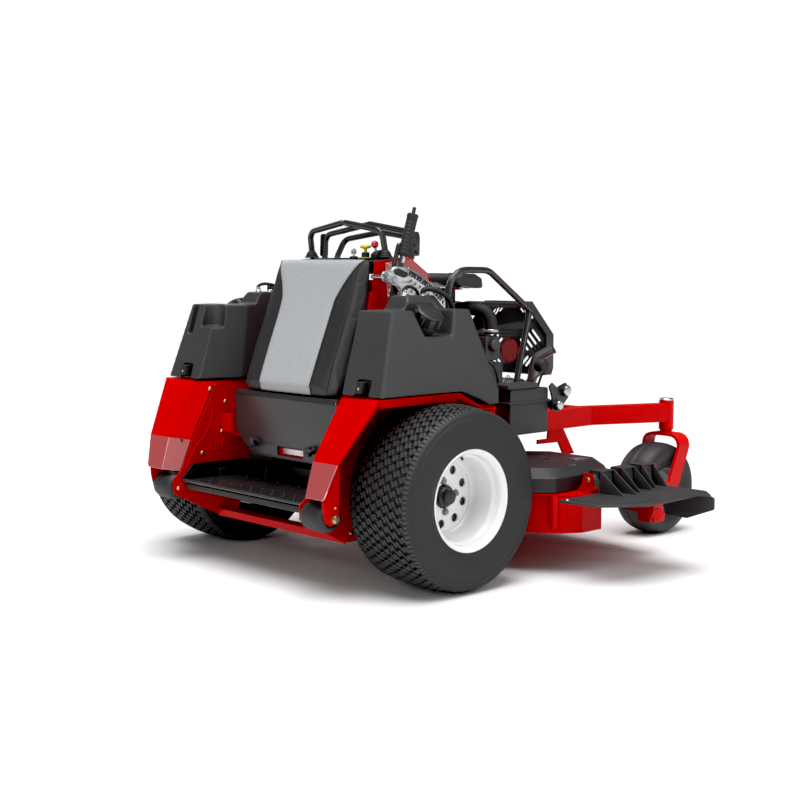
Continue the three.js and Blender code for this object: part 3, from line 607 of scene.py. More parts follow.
def valve():
    """The rubber valve stem on the rim's shoulder."""
    a = math.radians(104)
    foot = Vector((697, AXLE[0] + 149 * math.cos(a), AXLE[1] + 149 * math.sin(a)))
    inward = Vector((0.5, -math.cos(a), -math.sin(a))).normalized()
    return Form().swept([foot, foot + inward * 5, foot + inward * 9], 4.2, 12, dome=True)


pair("drive_rim_shell", rim(), "drive_wheel", "white", replaces="drive_rim", angle=38)
pair("drive_hub_cap", wheel_hub(), "drive_wheel", "hub", replaces="drive_hub", angle=30)
pair("drive_wheel_nuts", wheel_nuts(), "drive_wheel", "grey")
pair("drive_valve", valve(), "drive_wheel", "boot")
dust = Form().lathe("x", [(67, 562), (118, 562), (118, 566), (67, 566)], AXLE, 48, loop=True)
pair("drive_drum_plate", dust, "drive_wheel", "grey")

# ---------------------------------------------------------------- tanks
for side in ("right", "left"):
    moulded(f"tank_{side}", f"tank_{side}_body", "chassis", "tank", 4.0, 9)

CAP_AT = Vector((508, -15, 870))
CAP_LEAN = Matrix.Rotation(math.radians(36), 3, "Y")


CAP_LOBES = 8


def fuel_cap():
    """A round domed cap with blocky grip lobes around its skirt."""
    form = Form()
    form.lathe("z", [(0, 1), (42, 1), (44.5, 3), (45, 36), (46.5, 38.5), (46, 42), (42, 45), (33, 46.6),
                     (26, 46.9),
                     (25, 48), (18, 48), (17, 46.9), (0, 47.2)], (0, 0), 56)
    for i in range(CAP_LOBES):
        a = 2 * math.pi * (i + 0.5) / CAP_LOBES
        lobe = [(r * math.cos(a) - w * math.sin(a), r * math.sin(a) + w * math.cos(a))
                for r, w in ((41, -10), (48.5, -9.5), (50.8, -7), (50.8, 7), (48.5, 9.5), (41, 10))]
        form.plate("z", [lobe], 5, 38, 1.8)
    form.lathe("z", [(0, -6), (37, -6), (37, 3), (0, 3)], (0, 0), 32)
    return form.turned(CAP_LEAN).placed(CAP_AT)


pair("fuel_cap_lobed", fuel_cap(), "fuel_cap", "plastic", replaces="fuel_cap", angle=40)

# ---------------------------------------------------------------- fenders
SHEET = 5.0


def shell(name, points, faces, body, finish, thickness, bevel, replaces=(), segments=3, painted_reflection_faces=0):
    """A folded sheet: one surface given its thickness, with rounded folds."""
    mesh = bpy.data.meshes.new(name)
    mesh.from_pydata([at(p) for p in points], [], faces)
    obj = shown(name, cleaned(mesh))
    thick = obj.modifiers.new("thickness", "SOLIDIFY")
    thick.thickness = thickness * MM
    thick.offset = 0.0
    thick.use_even_offset = True
    # The first faces, as many as asked, take the brighter, more reflective red copy: a painted reflection.
    for index, face in enumerate(mesh.polygons):
        face.material_index = 1 if index < painted_reflection_faces else 0
    apply(obj)
    marked = [face.material_index for face in obj.data.polygons]
    finished(obj, body, finish, bevel, segments, 32, replaces)
    if painted_reflection_faces:
        obj.data.materials.append(FINISH["red_painted_reflection"])
        obj.data.polygons.foreach_set("material_index", marked)
    return obj


FENDER_POINTS = [
    (366, -238, 631), (366, -343, 429), (366, -390, 322),
    (409, -287, 631), (409, -405, 440), (409, -437, 328),
    (589.5, -287, 631), (528, -405, 440), (500, -437, 336), (492, -438.5, 328.5),
    (366, 60, 631), (589.5, 60, 631), (366, 182, 578), (589.5, 182, 578), (366, 240, 577), (589.5, 240, 577),
    (575, -276, 612), (575, 60, 612),
]
FENDER_FACES = [
    (4, 7, 8, 9, 5), (1, 4, 5, 2), (3, 6, 7, 4), (0, 3, 4, 1), (0, 10, 11, 6, 3), (10, 12, 13, 11),
    (12, 14, 15, 13), (6, 11, 17, 16),
]
EAR = [(-408, 440), (-362, 430), (-366, 335), (-370, 272), (-375, 256), (-386, 247), (-400, 243),
       (-413, 247), (-424, 258), (-434, 300), (-436, 330)]
ROLLER_AT = (-391.0, 265.0)
# Each fender's two lower facets take the brighter, more reflective red copy: a painted reflection.
for side, way in (("right", 1), ("left", -1)):
    shell(f"fender_{side}_sheet", [(way * x, y, z) for x, y, z in FENDER_POINTS], FENDER_FACES, "chassis",
          "red", SHEET, 2.2, replaces=f"fender_{side}", painted_reflection_faces=2)
ear = Form().plate("x", [rounded(EAR, 14)], 484, 490, 1.2)
pair("fender_ear", ear, "chassis", "red")

# ---------------------------------------------------------------- thigh cushion
CUSHION_LEVELS = [  # z, rear face y, front face y, half width
    (613, -199, -122, 246), (622, -204, -112, 254), (645, -200, -104, 259), (760, -156, -74, 260),
    (880, -108, -46, 257), (975, -73, -24, 253), (1040, -51, -16, 249), (1066, -43, -14, 246),
    (1078, -34, -17, 240),
]
PANEL_LEVELS = [(613, 139), (700, 141), (800, 142), (900, 143), (940, 146), (985, 167), (1030, 196),
                (1078, 226)]


def level(table, z):
    """Linear reading of a table of (z, values...)."""
    for low, high in zip(table, table[1:]):
        if z <= high[0]:
            t = max(0.0, (z - low[0]) / (high[0] - low[0]))
            return [a + (b - a) * t for a, b in zip(low[1:], high[1:])]
    return list(table[-1][1:])


def cushion_core():
    """The cushion's closed body, a little smaller than it is when padded."""
    rings = []
    shelf = [i / 12 for i in range(-12, 13)]
    for step in range(33):
        z = 613 + (1078 - 613) * step / 32
        rear, front, half = level(CUSHION_LEVELS, z)
        ring = []
        for s in shelf:
            drop = 0.0 if abs(s) < 0.8 else 26.0 * ((abs(s) - 0.8) / 0.2) ** 1.6
            ring.append((s * half, rear + min(drop, (front - rear) * 0.5), z))
        ring += [(half, front - 6, z), (half - 12, front, z), (12 - half, front, z), (-half, front - 6, z)]
        rings.append(ring)
    return Form().rings(rings)


def inflated(obj, voxel, pressure, cap, frames):
    """Swell a closed form with cloth pressure; no point moves further than the cap."""
    softened(obj, voxel, 4)
    rest = [v.co.copy() for v in obj.data.vertices]
    cloth = obj.modifiers.new("cloth", "CLOTH")
    cloth.settings.use_pressure = True
    cloth.settings.uniform_pressure_force = pressure
    cloth.settings.effector_weights.gravity = 0.0
    cloth.settings.tension_stiffness = 25.0
    cloth.point_cache.frame_end = frames
    for number in range(1, frames + 1):
        bpy.context.scene.frame_set(number)
    apply(obj)
    bpy.context.scene.frame_set(1)
    for vertex, start in zip(obj.data.vertices, rest):
        way = vertex.co - start
        if way.length > cap * MM:
            vertex.co = start + way.normalized() * cap * MM


def tree_of(obj):
    """A search tree over the object's faces."""
    work = bmesh.new()
    work.from_mesh(obj.data)
    found = BVHTree.FromBMesh(work)
    work.free()
    return found


def rear_surface(tree, x, z):
    """Where the cushion's rear face is, seen level along the machine, in millimetres."""
    hit = tree.ray_cast(at((x, -500, z)), Vector((0, 1, 0)))
    return (hit[0] - DATUM) / MM if hit[0] is not None else None


def make_cushion():
    """The padded body, its raised centre panel, the piping and the rows of stitches."""
    core = make("thigh_cushion_core", cushion_core(), "chassis", "vinyl", replaces="thigh_cushion", angle=70)
    inflated(core, 6.0, 3.0, 5.0, 14)
    core.data.polygons.foreach_set("use_smooth", [True] * len(core.data.polygons))
    finer = core.modifiers.new("finer", "SUBSURF")
    finer.levels = finer.render_levels = 1
    tree = tree_of(core)
    rings = []
    rows, columns = 60, 28
    for i in range(rows + 1):
        z = 618 + (1071 - 618) * i / rows
        half, = level(PANEL_LEVELS, z)
        ring = []
        for j in range(columns + 1):
            s = 2 * j / columns - 1
            edge = min(1.0, (1 - abs(s)) * 9) * min(1.0, min(i, rows - i) / 3.0)
            on = rear_surface(tree, s * half, z)
            rise = -2.0 + 5.0 * edge ** 0.5 + 2.0 * (1 - s * s)
            ring.append((s * half, on.y - rise, z))
        rings.append(ring)
    panel = Form().rings(rings, closed_ring=False, caps=False)
    piece = make("thigh_cushion_panel", panel, "chassis", "grey_vinyl", angle=60)
    thick = piece.modifiers.new("thickness", "SOLIDIFY")
    thick.thickness = 6 * MM
    thick.offset = 0.0
    piping, stitches = Form(), Form()
    for way in (1, -1):
        seam = []
        for i in range(61):
            z = 618 + (1071 - 618) * i / 60
            half, = level(PANEL_LEVELS, z)
            on = rear_surface(tree, way * (half + 1.0), z)
            seam.append(Vector((on.x, on.y - 0.4, z)))
        piping.swept(seam, 2.0, 8)
        for i in range(90):
            z = 624 + (1064 - 624) * i / 90
            half, = level(PANEL_LEVELS, z)
            points = [rear_surface(tree, way * (half + 8.0), z + dz) for dz in (0, 3.2)]
            stitches.swept([p + Vector((0, -0.5, 0)) for p in points], 0.65, 6, dome=True)
        bead = []
        for i in range(41):
            z = 622 + (1060 - 622) * i / 40
            half = level(CUSHION_LEVELS, z)[2]
            on = rear_surface(tree, way * half * 0.86, z)
            bead.append(Vector((on.x, on.y - 0.2, z)))
        piping.swept(bead, 1.6, 8)
    make("thigh_cushion_piping", piping, "chassis", "boot", angle=60)
    make("thigh_cushion_stitches", stitches, "chassis", "vinyl", angle=60)


make_cushion()

# ---------------------------------------------------------------- rear cover and knobs
COVER = [(180, 384), (236, 424), (285, 470), (285, 596), (-285, 596), (-285, 470), (-236, 424), (-180, 384)]


def band(form, axis, outline, thickness, low, high):
    """A wall that follows an outline, with its thickness inside."""
    inner = grown(outline, -thickness)
    return form.rings([[seated(axis, u, v, d) for u, v in line] for line, d in
                       ((outline, low), (outline, high), (inner, high), (inner, low))], loop=True)


def grown(outline, distance):
    """The outline moved outward, or inward with a negative distance."""
    area = sum(a[0] * b[1] - b[0] * a[1] for a, b in zip(outline, outline[1:] + outline[:1]))
    distance = distance if area > 0 else -distance
    result = []
    for i, point in enumerate(outline):
        here = Vector(point)
        a = (here - Vector(outline[i - 1])).normalized()
        b = (Vector(outline[(i + 1) % len(outline)]) - here).normalized()
        scale = distance / max(0.3, 1 + a.dot(b))
        result.append((here.x + (a.y + b.y) * scale, here.y - (a.x + b.x) * scale))
    return result


cover_edge = rounded(COVER, [30, 90, 90, 3, 3, 90, 90, 30], 8)
cover = Form()
window = rounded([(-41, 396), (103, 396), (103, 427), (-41, 427)], 5, 3)
cover.plate("y", [cover_edge, window] + [circle(7, (x, 430), 16) for x in (-158, 158)], -203, -199, 1.2)
band(cover, "y", cover_edge, 4, -200.5, -176)
make("rear_cover_pan", cover, "chassis", "cover", replaces="rear_cover")
strip = Form().plate("x", [rounded([(-207, 594), (-178, 594), (-178, 611), (-207, 611)], 5)], -280, 280, 3)
make("cover_top_rubber", strip, "chassis", "boot")
backing = Form().block((-60, 130), (-188, -184), (384, 440))
make("cover_window_back", backing, "chassis", "red", bevel=1)
badge = Form().plate("y", [rounded([(-22, 402), (90, 402), (90, 422), (-22, 422)], 2)], -192, -190, 0.5)
for x in (-15, 83):
    badge.bolt("y", (x, -192, 412), 3, 2, way=-1, kind="dome")
make("cover_window_plate", badge, "chassis", "zinc")


def star_knob():
    """A five-lobed hand knob on its spacer."""
    form = Form()
    star = [((20.5 if i % 2 == 0 else 11.5) * math.cos(math.pi * i / 5),
             (20.5 if i % 2 == 0 else 11.5) * math.sin(math.pi * i / 5)) for i in range(10)]
    form.plate("y", [moved(rounded(star, 4), 158, 430)], -230, -213, 3.0)
    form.lathe("y", [(0, -233), (6, -232.5), (9, -230), (0, -230)], (158, 430), 24)
    form.lathe("y", [(0, -214), (10, -214), (12, -204), (0, -204)], (158, 430), 24)
    return form


pair("cover_knob_star", star_knob(), "knob", "plastic", replaces="cover_knob")

# ---------------------------------------------------------------- console and controls
reshaped("console", "console_plates", "chassis", "red", 1.4)
reshaped("dash_panel", "dash_shelf", "chassis", "plastic", 2.5)
# A thin sheet on each console side in the brighter, more reflective copy of the red paint: a painted
# reflection.
console_reflection_sheet = Form().plate("x", [rounded([(160, 1076), (238, 1024), (256, 930), (256, 850), (60, 850),
                                        (40, 1064)], 4)],
                         252.2, 253.8, 0.5)
pair("console_side_painted_reflection", console_reflection_sheet, "chassis", "red_painted_reflection")
console_bolts = Form()
for y, z in ((20, 1012), (150, 1040), (222, 1004), (60, 905)):
    console_bolts.bolt("x", (253, y, z), 7, 6, kind="dome")
pair("console_bolt", console_bolts, "chassis", "gold")

BAR = 11.0
lever = Form().tube([(10, 70, 1203), (196, 76, 1174), (201, 91, 1085)], BAR, 36, 18, dome=True)
pair("drive_lever_bar", lever, "drive_lever", "black", replaces="drive_lever", angle=60)
boot = Form().lathe("z", [(0, 1080), (26, 1080), (26, 1084), (21, 1088), (22, 1091), (18, 1095),
                          (18.6, 1098),
                          (13.5, 1103), (12, 1106), (0, 1106)], (201, 88), 28)
pair("drive_lever_boot", boot, "chassis", "boot", angle=30)


def across(half):
    """A path and its mirror image, joined on the centre plane."""
    return [(x, y, z) for x, y, z in half] + [(-x, y, z) for x, y, z in half[:-1][::-1]]


rear_bar = Form().tube(across([(236, 178, 1076.5), (243, 189, 1165), (0, 194, 1201)]), BAR, 32, 18)
gusset = rounded([(166, 1086), (204, 1086), (206, 1150), (200, 1170), (170, 1170)], 10)
for low in (247, -251):
    rear_bar.plate("x", [gusset, circle(5, (185, 1102), 16)], low, low + 4, 1)
make("reference_bar_rear_tube", rear_bar, "chassis", "black", replaces="reference_bar_rear", angle=50)
front_bar = Form().tube(across([(200, 205, 1058.5), (200, 211, 1089), (190, 238, 1149), (0, 250, 1173)]),
                        BAR, 32, 18)
make("reference_bar_front_tube", front_bar, "chassis", "black", replaces="reference_bar_front", angle=50)
bar_bolts = Form()
for y, z in ((180, 1128), (190, 1100)):
    bar_bolts.bolt("x", (251, y, z), 6, 6)
pair("reference_bar_bolt", bar_bolts, "chassis", "black")


def node_middle(node):
    """The middle of a node's box in millimetres about the machine datum."""
    low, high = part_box(node)
    return ((low + high) / 2 - DATUM) / MM


PTO_AT = node_middle("pto_knob")
pto = Form().lathe("z", [(0, 1113), (12, 1112), (17, 1113.5), (19.6, 1117), (20, 1119), (18, 1122.5),
                         (12, 1124.5), (0, 1125)], PTO_AT[:2], 40)
pto.lathe("z", [(0, 1075), (6, 1075), (6, 1110), (9, 1113), (0, 1113)], PTO_AT[:2], 24)
make("pto_mushroom", pto, "pto", "yellow", replaces="pto_knob", angle=40)
pto_base = Form().lathe("z", [(0, 1074), (20, 1072), (20, 1080), (14, 1082), (14, 1096), (12, 1099),
                              (0, 1099)],
                        PTO_AT[:2], 28)
make("pto_switch_body", pto_base, "chassis", "boot")
pto_ring = Form().lathe("z", [(20.5, 1079), (25, 1079), (25, 1081.5), (20.5, 1082)], PTO_AT[:2], 36,
                        loop=True)
make("pto_ring", pto_ring, "chassis", "yellow")
BALL_AT = Vector((171, 66, 1126))
BALL_RADIUS = 13.2
ball = Form().lathe("z", [(BALL_RADIUS * math.cos(math.radians(a)),
                           BALL_AT.z + BALL_RADIUS * math.sin(math.radians(a)))
                          for a in range(-90, 91, 10)], BALL_AT[:2], 36)
make("throttle_ball", ball, "throttle", "ball", replaces="throttle_lever", angle=60)
stem = Form().tube([BALL_AT - Vector((0, 0, 10)), (175, 80, 1082)], 4, 0, 12)
make("throttle_stem", stem, "throttle", "zinc")
throttle_block = Form().plate("x", [rounded([(52, 1070), (112, 1078), (112, 1100), (96, 1108), (66, 1102),
                                             (52, 1092)], 5)],
                              164, 192, 2)
make("throttle_block", throttle_block, "chassis", "boot")
key_form = Form().plate("x", [rounded([(52, 1094), (76, 1094), (76, 1106), (70, 1112), (58, 1112),
                                       (52, 1106)], 3),
                              circle(3, (64, 1106), 12)], 60, 64, 0.8)
key_form.lathe("z", [(0, 1075), (4, 1075), (4, 1095), (0, 1095)], (62, 64), 16)
make("ignition_key_blade", key_form, "key", "zinc", replaces="ignition_key")
lock = Form().lathe("z", [(5, 1073), (15, 1073), (15, 1082), (12, 1086), (5, 1086)], (62, 64), 28, loop=True)
make("ignition_lock", lock, "chassis", "boot")
hour = Form().plate("z", [rounded([(-30, 40), (30, 40), (30, 70), (-30, 70)], 5)], 1073, 1079, 1.5)
make("hour_meter", hour, "chassis", "boot")

# ---------------------------------------------------------------- deck-height lever and sector
LEAN = Matrix.Rotation(-math.atan2(43, 135), 3, "X")
GRIP_FOOT = (310, 72, 1086)
GRIP_SIDE = [(0, -2), (13, -2), (15, 0), (18.2, 5), (19, 9)]
for rib in range(9):
    z = 14 + rib * 13.0
    GRIP_SIDE += [(19, z), (18.2, z + 1), (18.2, z + 2.2), (19, z + 3.2)]
GRIP_SIDE += [(19.2, 138), (20, 139), (20, 144), (18, 147.5), (8, 148), (7.4, 146), (7.4, 131), (0, 131)]
arm = Form().plate("x", [rounded([(-118, 535), (-82, 535), (-78, 560), (52, 985), (84, 1104), (68, 1108),
                                  (26, 1000), (-120, 570)], 10), circle(8.5, (-100, 548),
                                                                        20)], 306, 314, 1.2)
make("height_lever_arm", arm, "height_lever", "black", replaces="deck_height_lever")
grip = Form().lathe("z", GRIP_SIDE, (0, 0), 32).turned(LEAN).placed(GRIP_FOOT)
make("height_lever_grip", grip, "height_lever", "boot", angle=40)
SECOND = Vector((292, 46, 1056))
latch = Form().tube([SECOND, SECOND + LEAN @ Vector((0, 0, 68))], 8.5, 0, 18, dome=True)
make("height_lever_latch_tube", latch, "height_lever", "black", angle=60)
latch_ball = Form().tube([SECOND + LEAN @ Vector((0, 0, 70)), SECOND + LEAN @ Vector((0, 0, 76))], 6, 0, 16,
                         dome=True)
latch_ball.tube([(310, 66, 1062), (310, 72, 1084)], 7.5, 0, 16)
latch_ball.bolt("x", (314, 50, 1012), 9, 7)
latch_ball.bolt("x", (314, -100, 548), 13, 9)
make("height_lever_latch_metal", latch_ball, "height_lever", "zinc", angle=50)
button = Form().lathe("z", [(0, 142), (6.4, 142), (6.4, 169), (5.6, 172), (3, 173), (0, 173)], (0, 0), 24)
make("release_button", button.turned(LEAN).placed(GRIP_FOOT), "lever_button", "boot",
     replaces="lever_button")

SECTOR = [(-34, 1000), (-44, 1020), (-34, 1034), (0, 1038), (17, 1052), (78, 1046), (136, 1024), (196, 990),
          (258, 937), (236, 910), (158, 922), (104, 950), (54, 962), (37, 966), (20, 984), (0, 994)]
SECTOR_PIVOT = (-100, 548)


def on_arc(reach, degrees):
    """A point of the sector plate, about the height lever's pivot."""
    a = math.radians(degrees)
    return (SECTOR_PIVOT[0] + reach * math.cos(a), SECTOR_PIVOT[1] + reach * math.sin(a))


HOLES = [circle(6.0, on_arc(492, 67 - i * 2.75), 18) for i in range(7)]
HOLES += [circle(5.0, on_arc(463, 67.5 - i * 2.6), 16) for i in range(5)]
sector = Form().plate("x", [rounded(SECTOR, 12), circle(7, (-22, 1016), 16)] + HOLES, 322, 326, 0.9)
sector.block((253.5, 326), (240, 256), (902, 932))
sector.bolt("x", (326, 14, 1004), 12, 7)
sector.bolt("x", (326, -22, 1016), 13, 9)
sector.lathe("x", [(9, 326), (17, 326), (17, 329), (9, 329)], (14, 1004), 24, loop=True)
sector.lathe("x", [(0, 256), (7, 256), (7, 344), (0, 344)], (-22, 1016), 18)
make("height_sector_galvanised", sector, "chassis", "zinc", replaces="height_sector_plate")
scale_edge = [on_arc(524, a) for a in range(69, 48, -2)] + [on_arc(506, a) for a in range(49, 70, 2)]
scale_strip = Form().prism("x", scale_edge, 325.6, 326.8)
head = rounded([(12, 1040), (34, 1045), (78, 1029), (76, 1016), (57, 1012), (16, 1025)], 4)
scale_strip.plate("x", [head], 325.5, 327, 0.5)
make("height_scale_strip", scale_strip, "chassis", "boot")
marks = Form()
for i in range(13):
    a = 68 - i * 1.5
    ends = [on_arc(508, a), on_arc(513 if i % 2 == 0 else 511, a)]
    marks.tube([(327.0, *ends[0]), (327.0, *ends[1])], 0.9, 0, 6)
make("height_scale_marks", marks, "chassis", "print")
for number in range(5):
    text = bpy.data.curves.new("digit", "FONT")
    text.body = str(number + 1)
    text.size = 10 * MM
    text.align_x = "CENTER"
    text.align_y = "CENTER"
    text.extrude = 0.25 * MM
    carrier = bpy.data.objects.new("digit", text)
    flat = bpy.data.meshes.new_from_object(carrier)
    spot = on_arc(517, 65 - number * 3.4)
    turn = Matrix.Rotation(math.radians(90), 4, "Z") @ Matrix.Rotation(math.radians(90), 4, "X")
    flat.transform(Matrix.Translation(at((327.2, spot[0], spot[1]))) @ turn)
    digit = shown(f"height_scale_digit_{number + 1}", flat)
    finished(digit, "chassis", "print", 0, 2, 30, ())
    bpy.data.objects.remove(carrier)

reshaped("deck_lift_shaft", "lift_shaft_arms", "lift_shaft", "black", 1.5)
lift_bits = Form()
for centre, size in (((746, 595), 20), ((705, 545), 17)):
    lift_bits.lathe("x", [(0, 464), (size * 0.9, 464), (size, 466), (size, 470), (size * 0.86, 473),
                          (size * 0.5, 474),
                          (0, 474)], centre, 32)
pair("lift_shaft_cap", lift_bits, "lift_shaft", "zinc")
collar = Form().lathe("x", [(14, 372), (26, 372), (30, 376), (30, 386), (26, 390), (14, 390)], (705, 545),
                      32, loop=True)
pair("lift_shaft_collar", collar, "lift_shaft", "red")

# ---------------------------------------------------------------- engine, muffler and guards
def fins(form, centre, size, z_low, z_high, turn, count=9):
    """A cylinder block's cooling fins: flat plates one above another, turned in plan."""
    rotate = Matrix.Rotation(turn, 3, "Z")
    for i in range(count):
        z = z_low + (z_high - z_low) * i / (count - 1)
        fin = Form().prism("z", rounded([(-size, 0), (size, 0), (size, 128), (-size, 128)], 12), z, z + 4)
        form.merge(fin.turned(rotate).placed(centre))
    return form


engine = Form()
engine.lathe("z", [(0, 509), (150, 509), (154, 514), (154, 524), (146, 530), (146, 640), (138, 652),
                   (0, 652)],
             (0, 470), 48)
for turn, centre in ((-0.72, (70, 540, 0)), (0.72, (-70, 540, 0))):
    fins(engine, centre, 58, 668, 800, turn)
    core = Form().prism("z", rounded([(-46, 0), (46, 0), (46, 112), (-46, 112)], 10), 664, 806)
    engine.merge(core.turned(Matrix.Rotation(turn, 3, "Z")).placed(centre))
    head = Form().plate("y", [rounded([(-48, 680), (48, 680), (48, 792), (-48, 792)], 14)], 112, 152, 6)
    engine.merge(head.turned(Matrix.Rotation(turn, 3, "Z")).placed(centre))
engine.plate("z", [rounded([(60, 560), (200, 560), (200, 690), (60, 690)], 12)], 562, 690, 8)
engine.lathe("x", [(0, 148), (34, 148), (36, 152), (36, 196), (32, 204), (20, 206), (0, 206)], (650, 625),
             40)
for i in range(12):
    a = 2 * math.pi * i / 12
    engine.tube([(152, 650 + 36 * math.cos(a), 625 + 36 * math.sin(a)),
                 (176, 650 + 36 * math.cos(a), 625 + 36 * math.sin(a))], 2.4, 0, 8)
make("engine_castings", engine, "chassis", "engine", replaces="engine", angle=30)

shroud = Form()
plan = rounded([(-157, 320), (157, 320), (180, 421), (130, 630), (-130, 630), (-180, 421)], 26, 5)
shroud.plate("z", [plan], 652, 792, 10, 3)
shroud.lathe("z", [(112, 788), (118, 800), (112, 806), (60, 812), (20, 814), (0, 814), (0, 788)], (0, 455),
             48)
for i in range(28):
    a = 2 * math.pi * i / 28
    shroud.tube([(40 * math.cos(a), 455 + 40 * math.sin(a), 812),
                 (104 * math.cos(a), 455 + 104 * math.sin(a), 806)],
                2.2, 0, 6)
make("engine_blower_housing", shroud, "chassis", "plastic", angle=35)

intake = Form()
intake.lathe("z", [(0, 795), (32, 795), (34, 800), (34, 850), (30, 856), (30, 905), (36, 910), (36, 967.5),
                   (0, 967.5)],
             (40, 540), 36)
intake.hose([(62, 545, 892), (140, 566, 892), (196, 586, 884), (212, 600, 850), (213, 606, 800)], 25, 22, 6)
intake.lathe("x", [(0, 60), (26, 60), (28, 66), (28, 78), (26, 84), (0, 84)], (545, 891), 30)
make("intake_elbow", intake, "chassis", "boot", angle=45)
clamps = Form()
for axis, low, centre, size in (("x", 88, (547, 892), 26.6), ("z", 806, (213, 605), 26.6),
                                ("z", 905, (40, 540), 33)):
    clamps.lathe(axis, [(size - 3, low), (size, low), (size + 1.4, low + 1.5), (size + 1.4, low + 9.5),
                        (size, low + 11), (size - 3, low + 11)], centre, 40, loop=True)
clamps.bolt("y", (213, 578, 811), 5, 12, way=-1, flange=False)
clamps.bolt("x", (76, 540, 910), 5, 10, flange=False)
make("intake_clamps", clamps, "chassis", "zinc")
carburettor = Form()
carburettor.plate("x", [rounded([(570, 700), (640, 700), (648, 730), (640, 792), (572, 792)], 10)], 178,
                  222, 5)
carburettor.lathe("x", [(0, 222), (22, 222), (24, 226), (24, 240), (18, 244), (0, 244)], (606, 758), 30)
carburettor.block((196, 214), (590, 620), (640, 702))
make("carburettor_box", carburettor, "chassis", "engine", bevel=1.5)

CLEANER = [(470, 990), (478, 1010), (505, 1024), (575, 1022), (612, 1004), (618, 968), (590, 968)]
pod = Form()
rings = []
for x, scale in ((-140, 0.84), (-134, 0.95), (-122, 1.0), (150, 1.0), (160, 0.97), (165, 0.88)):
    rings.append([(x, 545 + (y - 545) * scale, 990 + (z - 990) * scale) for y, z in rounded(CLEANER, 12, 4)])
pod.rings(rings)
pod.plate("x", [grown(rounded(CLEANER, 12, 4), 1.6)], 92, 100, 1.5)
make("air_cleaner_pod", pod, "chassis", "plastic", replaces="air_cleaner", angle=28)
cleaner_bits = Form()
for y, z in ((500, 984), (600, 986)):
    cleaner_bits.bolt("x", (104, y, z), 4, 8)
cleaner_bits.plate("x", [rounded([(536, 962), (552, 962), (552, 974), (536, 974)], 3)], 40, 120, 1.5)
make("air_cleaner_clips", cleaner_bits, "chassis", "zinc")

can = Form()
can.lathe("x", [(0, -190), (40, -190), (46, -188), (51, -183), (53, -178), (53, -172), (51.5, -170),
                (51.5, 170),
                (53, 172), (53, 178), (51, 183), (46, 188), (40, 190), (0, 190)], (805, 566), 48)
path = bent([(150, 805, 585), (240, 802, 600), (250, 815, 700), (306, 852, 738)], 34, 8)
can.swept(path, 19, 24)
end = path[-1]
way = (path[-1] - path[-2]).normalized()
side = way.orthogonal().normalized()
up = way.cross(side)
ring_set = []
for back, size in ((0, 19), (1.5, 20.4), (0.5, 17.4), (-30, 17.0), (-31, 1)):
    ring_set.append([end + way * back + side * size * math.cos(a) + up * size * math.sin(a)
                     for a in [2 * math.pi * k / 28 for k in range(28)]])
make("muffler_can", can, "chassis", "muffler", replaces="muffler", angle=40)
mouth = Form().rings(ring_set, caps=False)
make("muffler_pipe_mouth", mouth, "chassis", "muffler", angle=60)
# A black disc across the pipe's mouth closes the opening: painted shade standing in for the dark inside of
# the pipe.
mouth_shade_disc = Form().swept([end + way * 0.4, end + way * 0.8], 16.8, 24)
make("muffler_pipe_painted_shade", mouth_shade_disc, "chassis", "boot")
straps = Form()
for x in (-110, 110):
    straps.lathe("x", [(52, x), (54.5, x), (54.5, x + 16), (52, x + 16)], (805, 566), 48, loop=True)
    straps.bolt("z", (x + 8, 805, 620), 6, 8)
make("muffler_straps", straps, "chassis", "zinc")

GUARD = 12.0
hoop = Form().tube([(205, 757, 509), (205, 757, 611), (190, 850, 898), (-190, 850, 898), (-205, 757, 611),
                    (-205, 757, 509)], GUARD, 46, 18)
for way_x in (1, -1):
    hoop.tube([(way_x * 200, 393, 509), (way_x * 200, 393, 1038), (way_x * 200, 603, 1035),
               (way_x * 192, 845, 880)], GUARD, 92, 18)
    for y, z in ((757, 509), (393, 509)):
        hoop.plate("z", [rounded([(way_x * 205 - 24, y - 24), (way_x * 205 + 24, y - 24),
                                  (way_x * 205 + 24, y + 24),
                                  (way_x * 205 - 24, y + 24)], 6)], 508.5, 514, 1)
make("engine_guard_tubes", hoop, "chassis", "black", replaces="engine_guard", angle=50)

PLATE_EDGE = [(212, 627), (222, 655), (222, 785), (110, 911), (-110, 911), (-222, 785), (-222, 655),
              (-212, 627)]


def slot_outline(x, z, length, degrees, half=5.5):
    """A slot with round ends, turned in the guard plate's plane."""
    a = math.radians(degrees)
    ends = []
    for k in range(7):
        t = -math.pi / 2 + math.pi * k / 6
        ends.append((length / 2 - half + half * math.cos(t), half * math.sin(t)))
    ends += [(-u, -v) for u, v in ends]
    return [(x + u * math.cos(a) + v * math.sin(a), z - u * math.sin(a) + v * math.cos(a)) for u, v in ends]


slots = []
for i in (-2, -1, 0, 1):
    slots.append(slot_outline(112 + i * 21, 765 + i * 13, 62, 45))
    slots.append(slot_outline(118 + i * 22, 668 - i * 4, 52, -45))
for i in (-1, 0, 1):
    slots.append(slot_outline(75 + i * 24, 872 - i * 12, 44, 45))
slots += [[(-u, v) for u, v in line] for line in slots]
guard = Form().plate("y", [rounded(PLATE_EDGE, 6)] + slots, 946, 950, 1)
band(guard, "y", rounded(PLATE_EDGE, 6), 4, 908, 948)
make("guard_plate_slotted", guard, "chassis", "black", replaces="guard_plate")
disc = Form().lathe("y", [(0, 938.5), (47, 938.5), (48, 939.5), (48, 944), (46, 945.5), (0, 945.5)],
                    (0, 713), 64)
disc.lathe("y", [(44, 938.2), (46, 937.4), (48.6, 938.4), (48.6, 940), (44, 940)], (0, 713), 64, loop=True)
make("guard_disc_face", disc, "chassis", "red_disc", replaces="guard_disc")

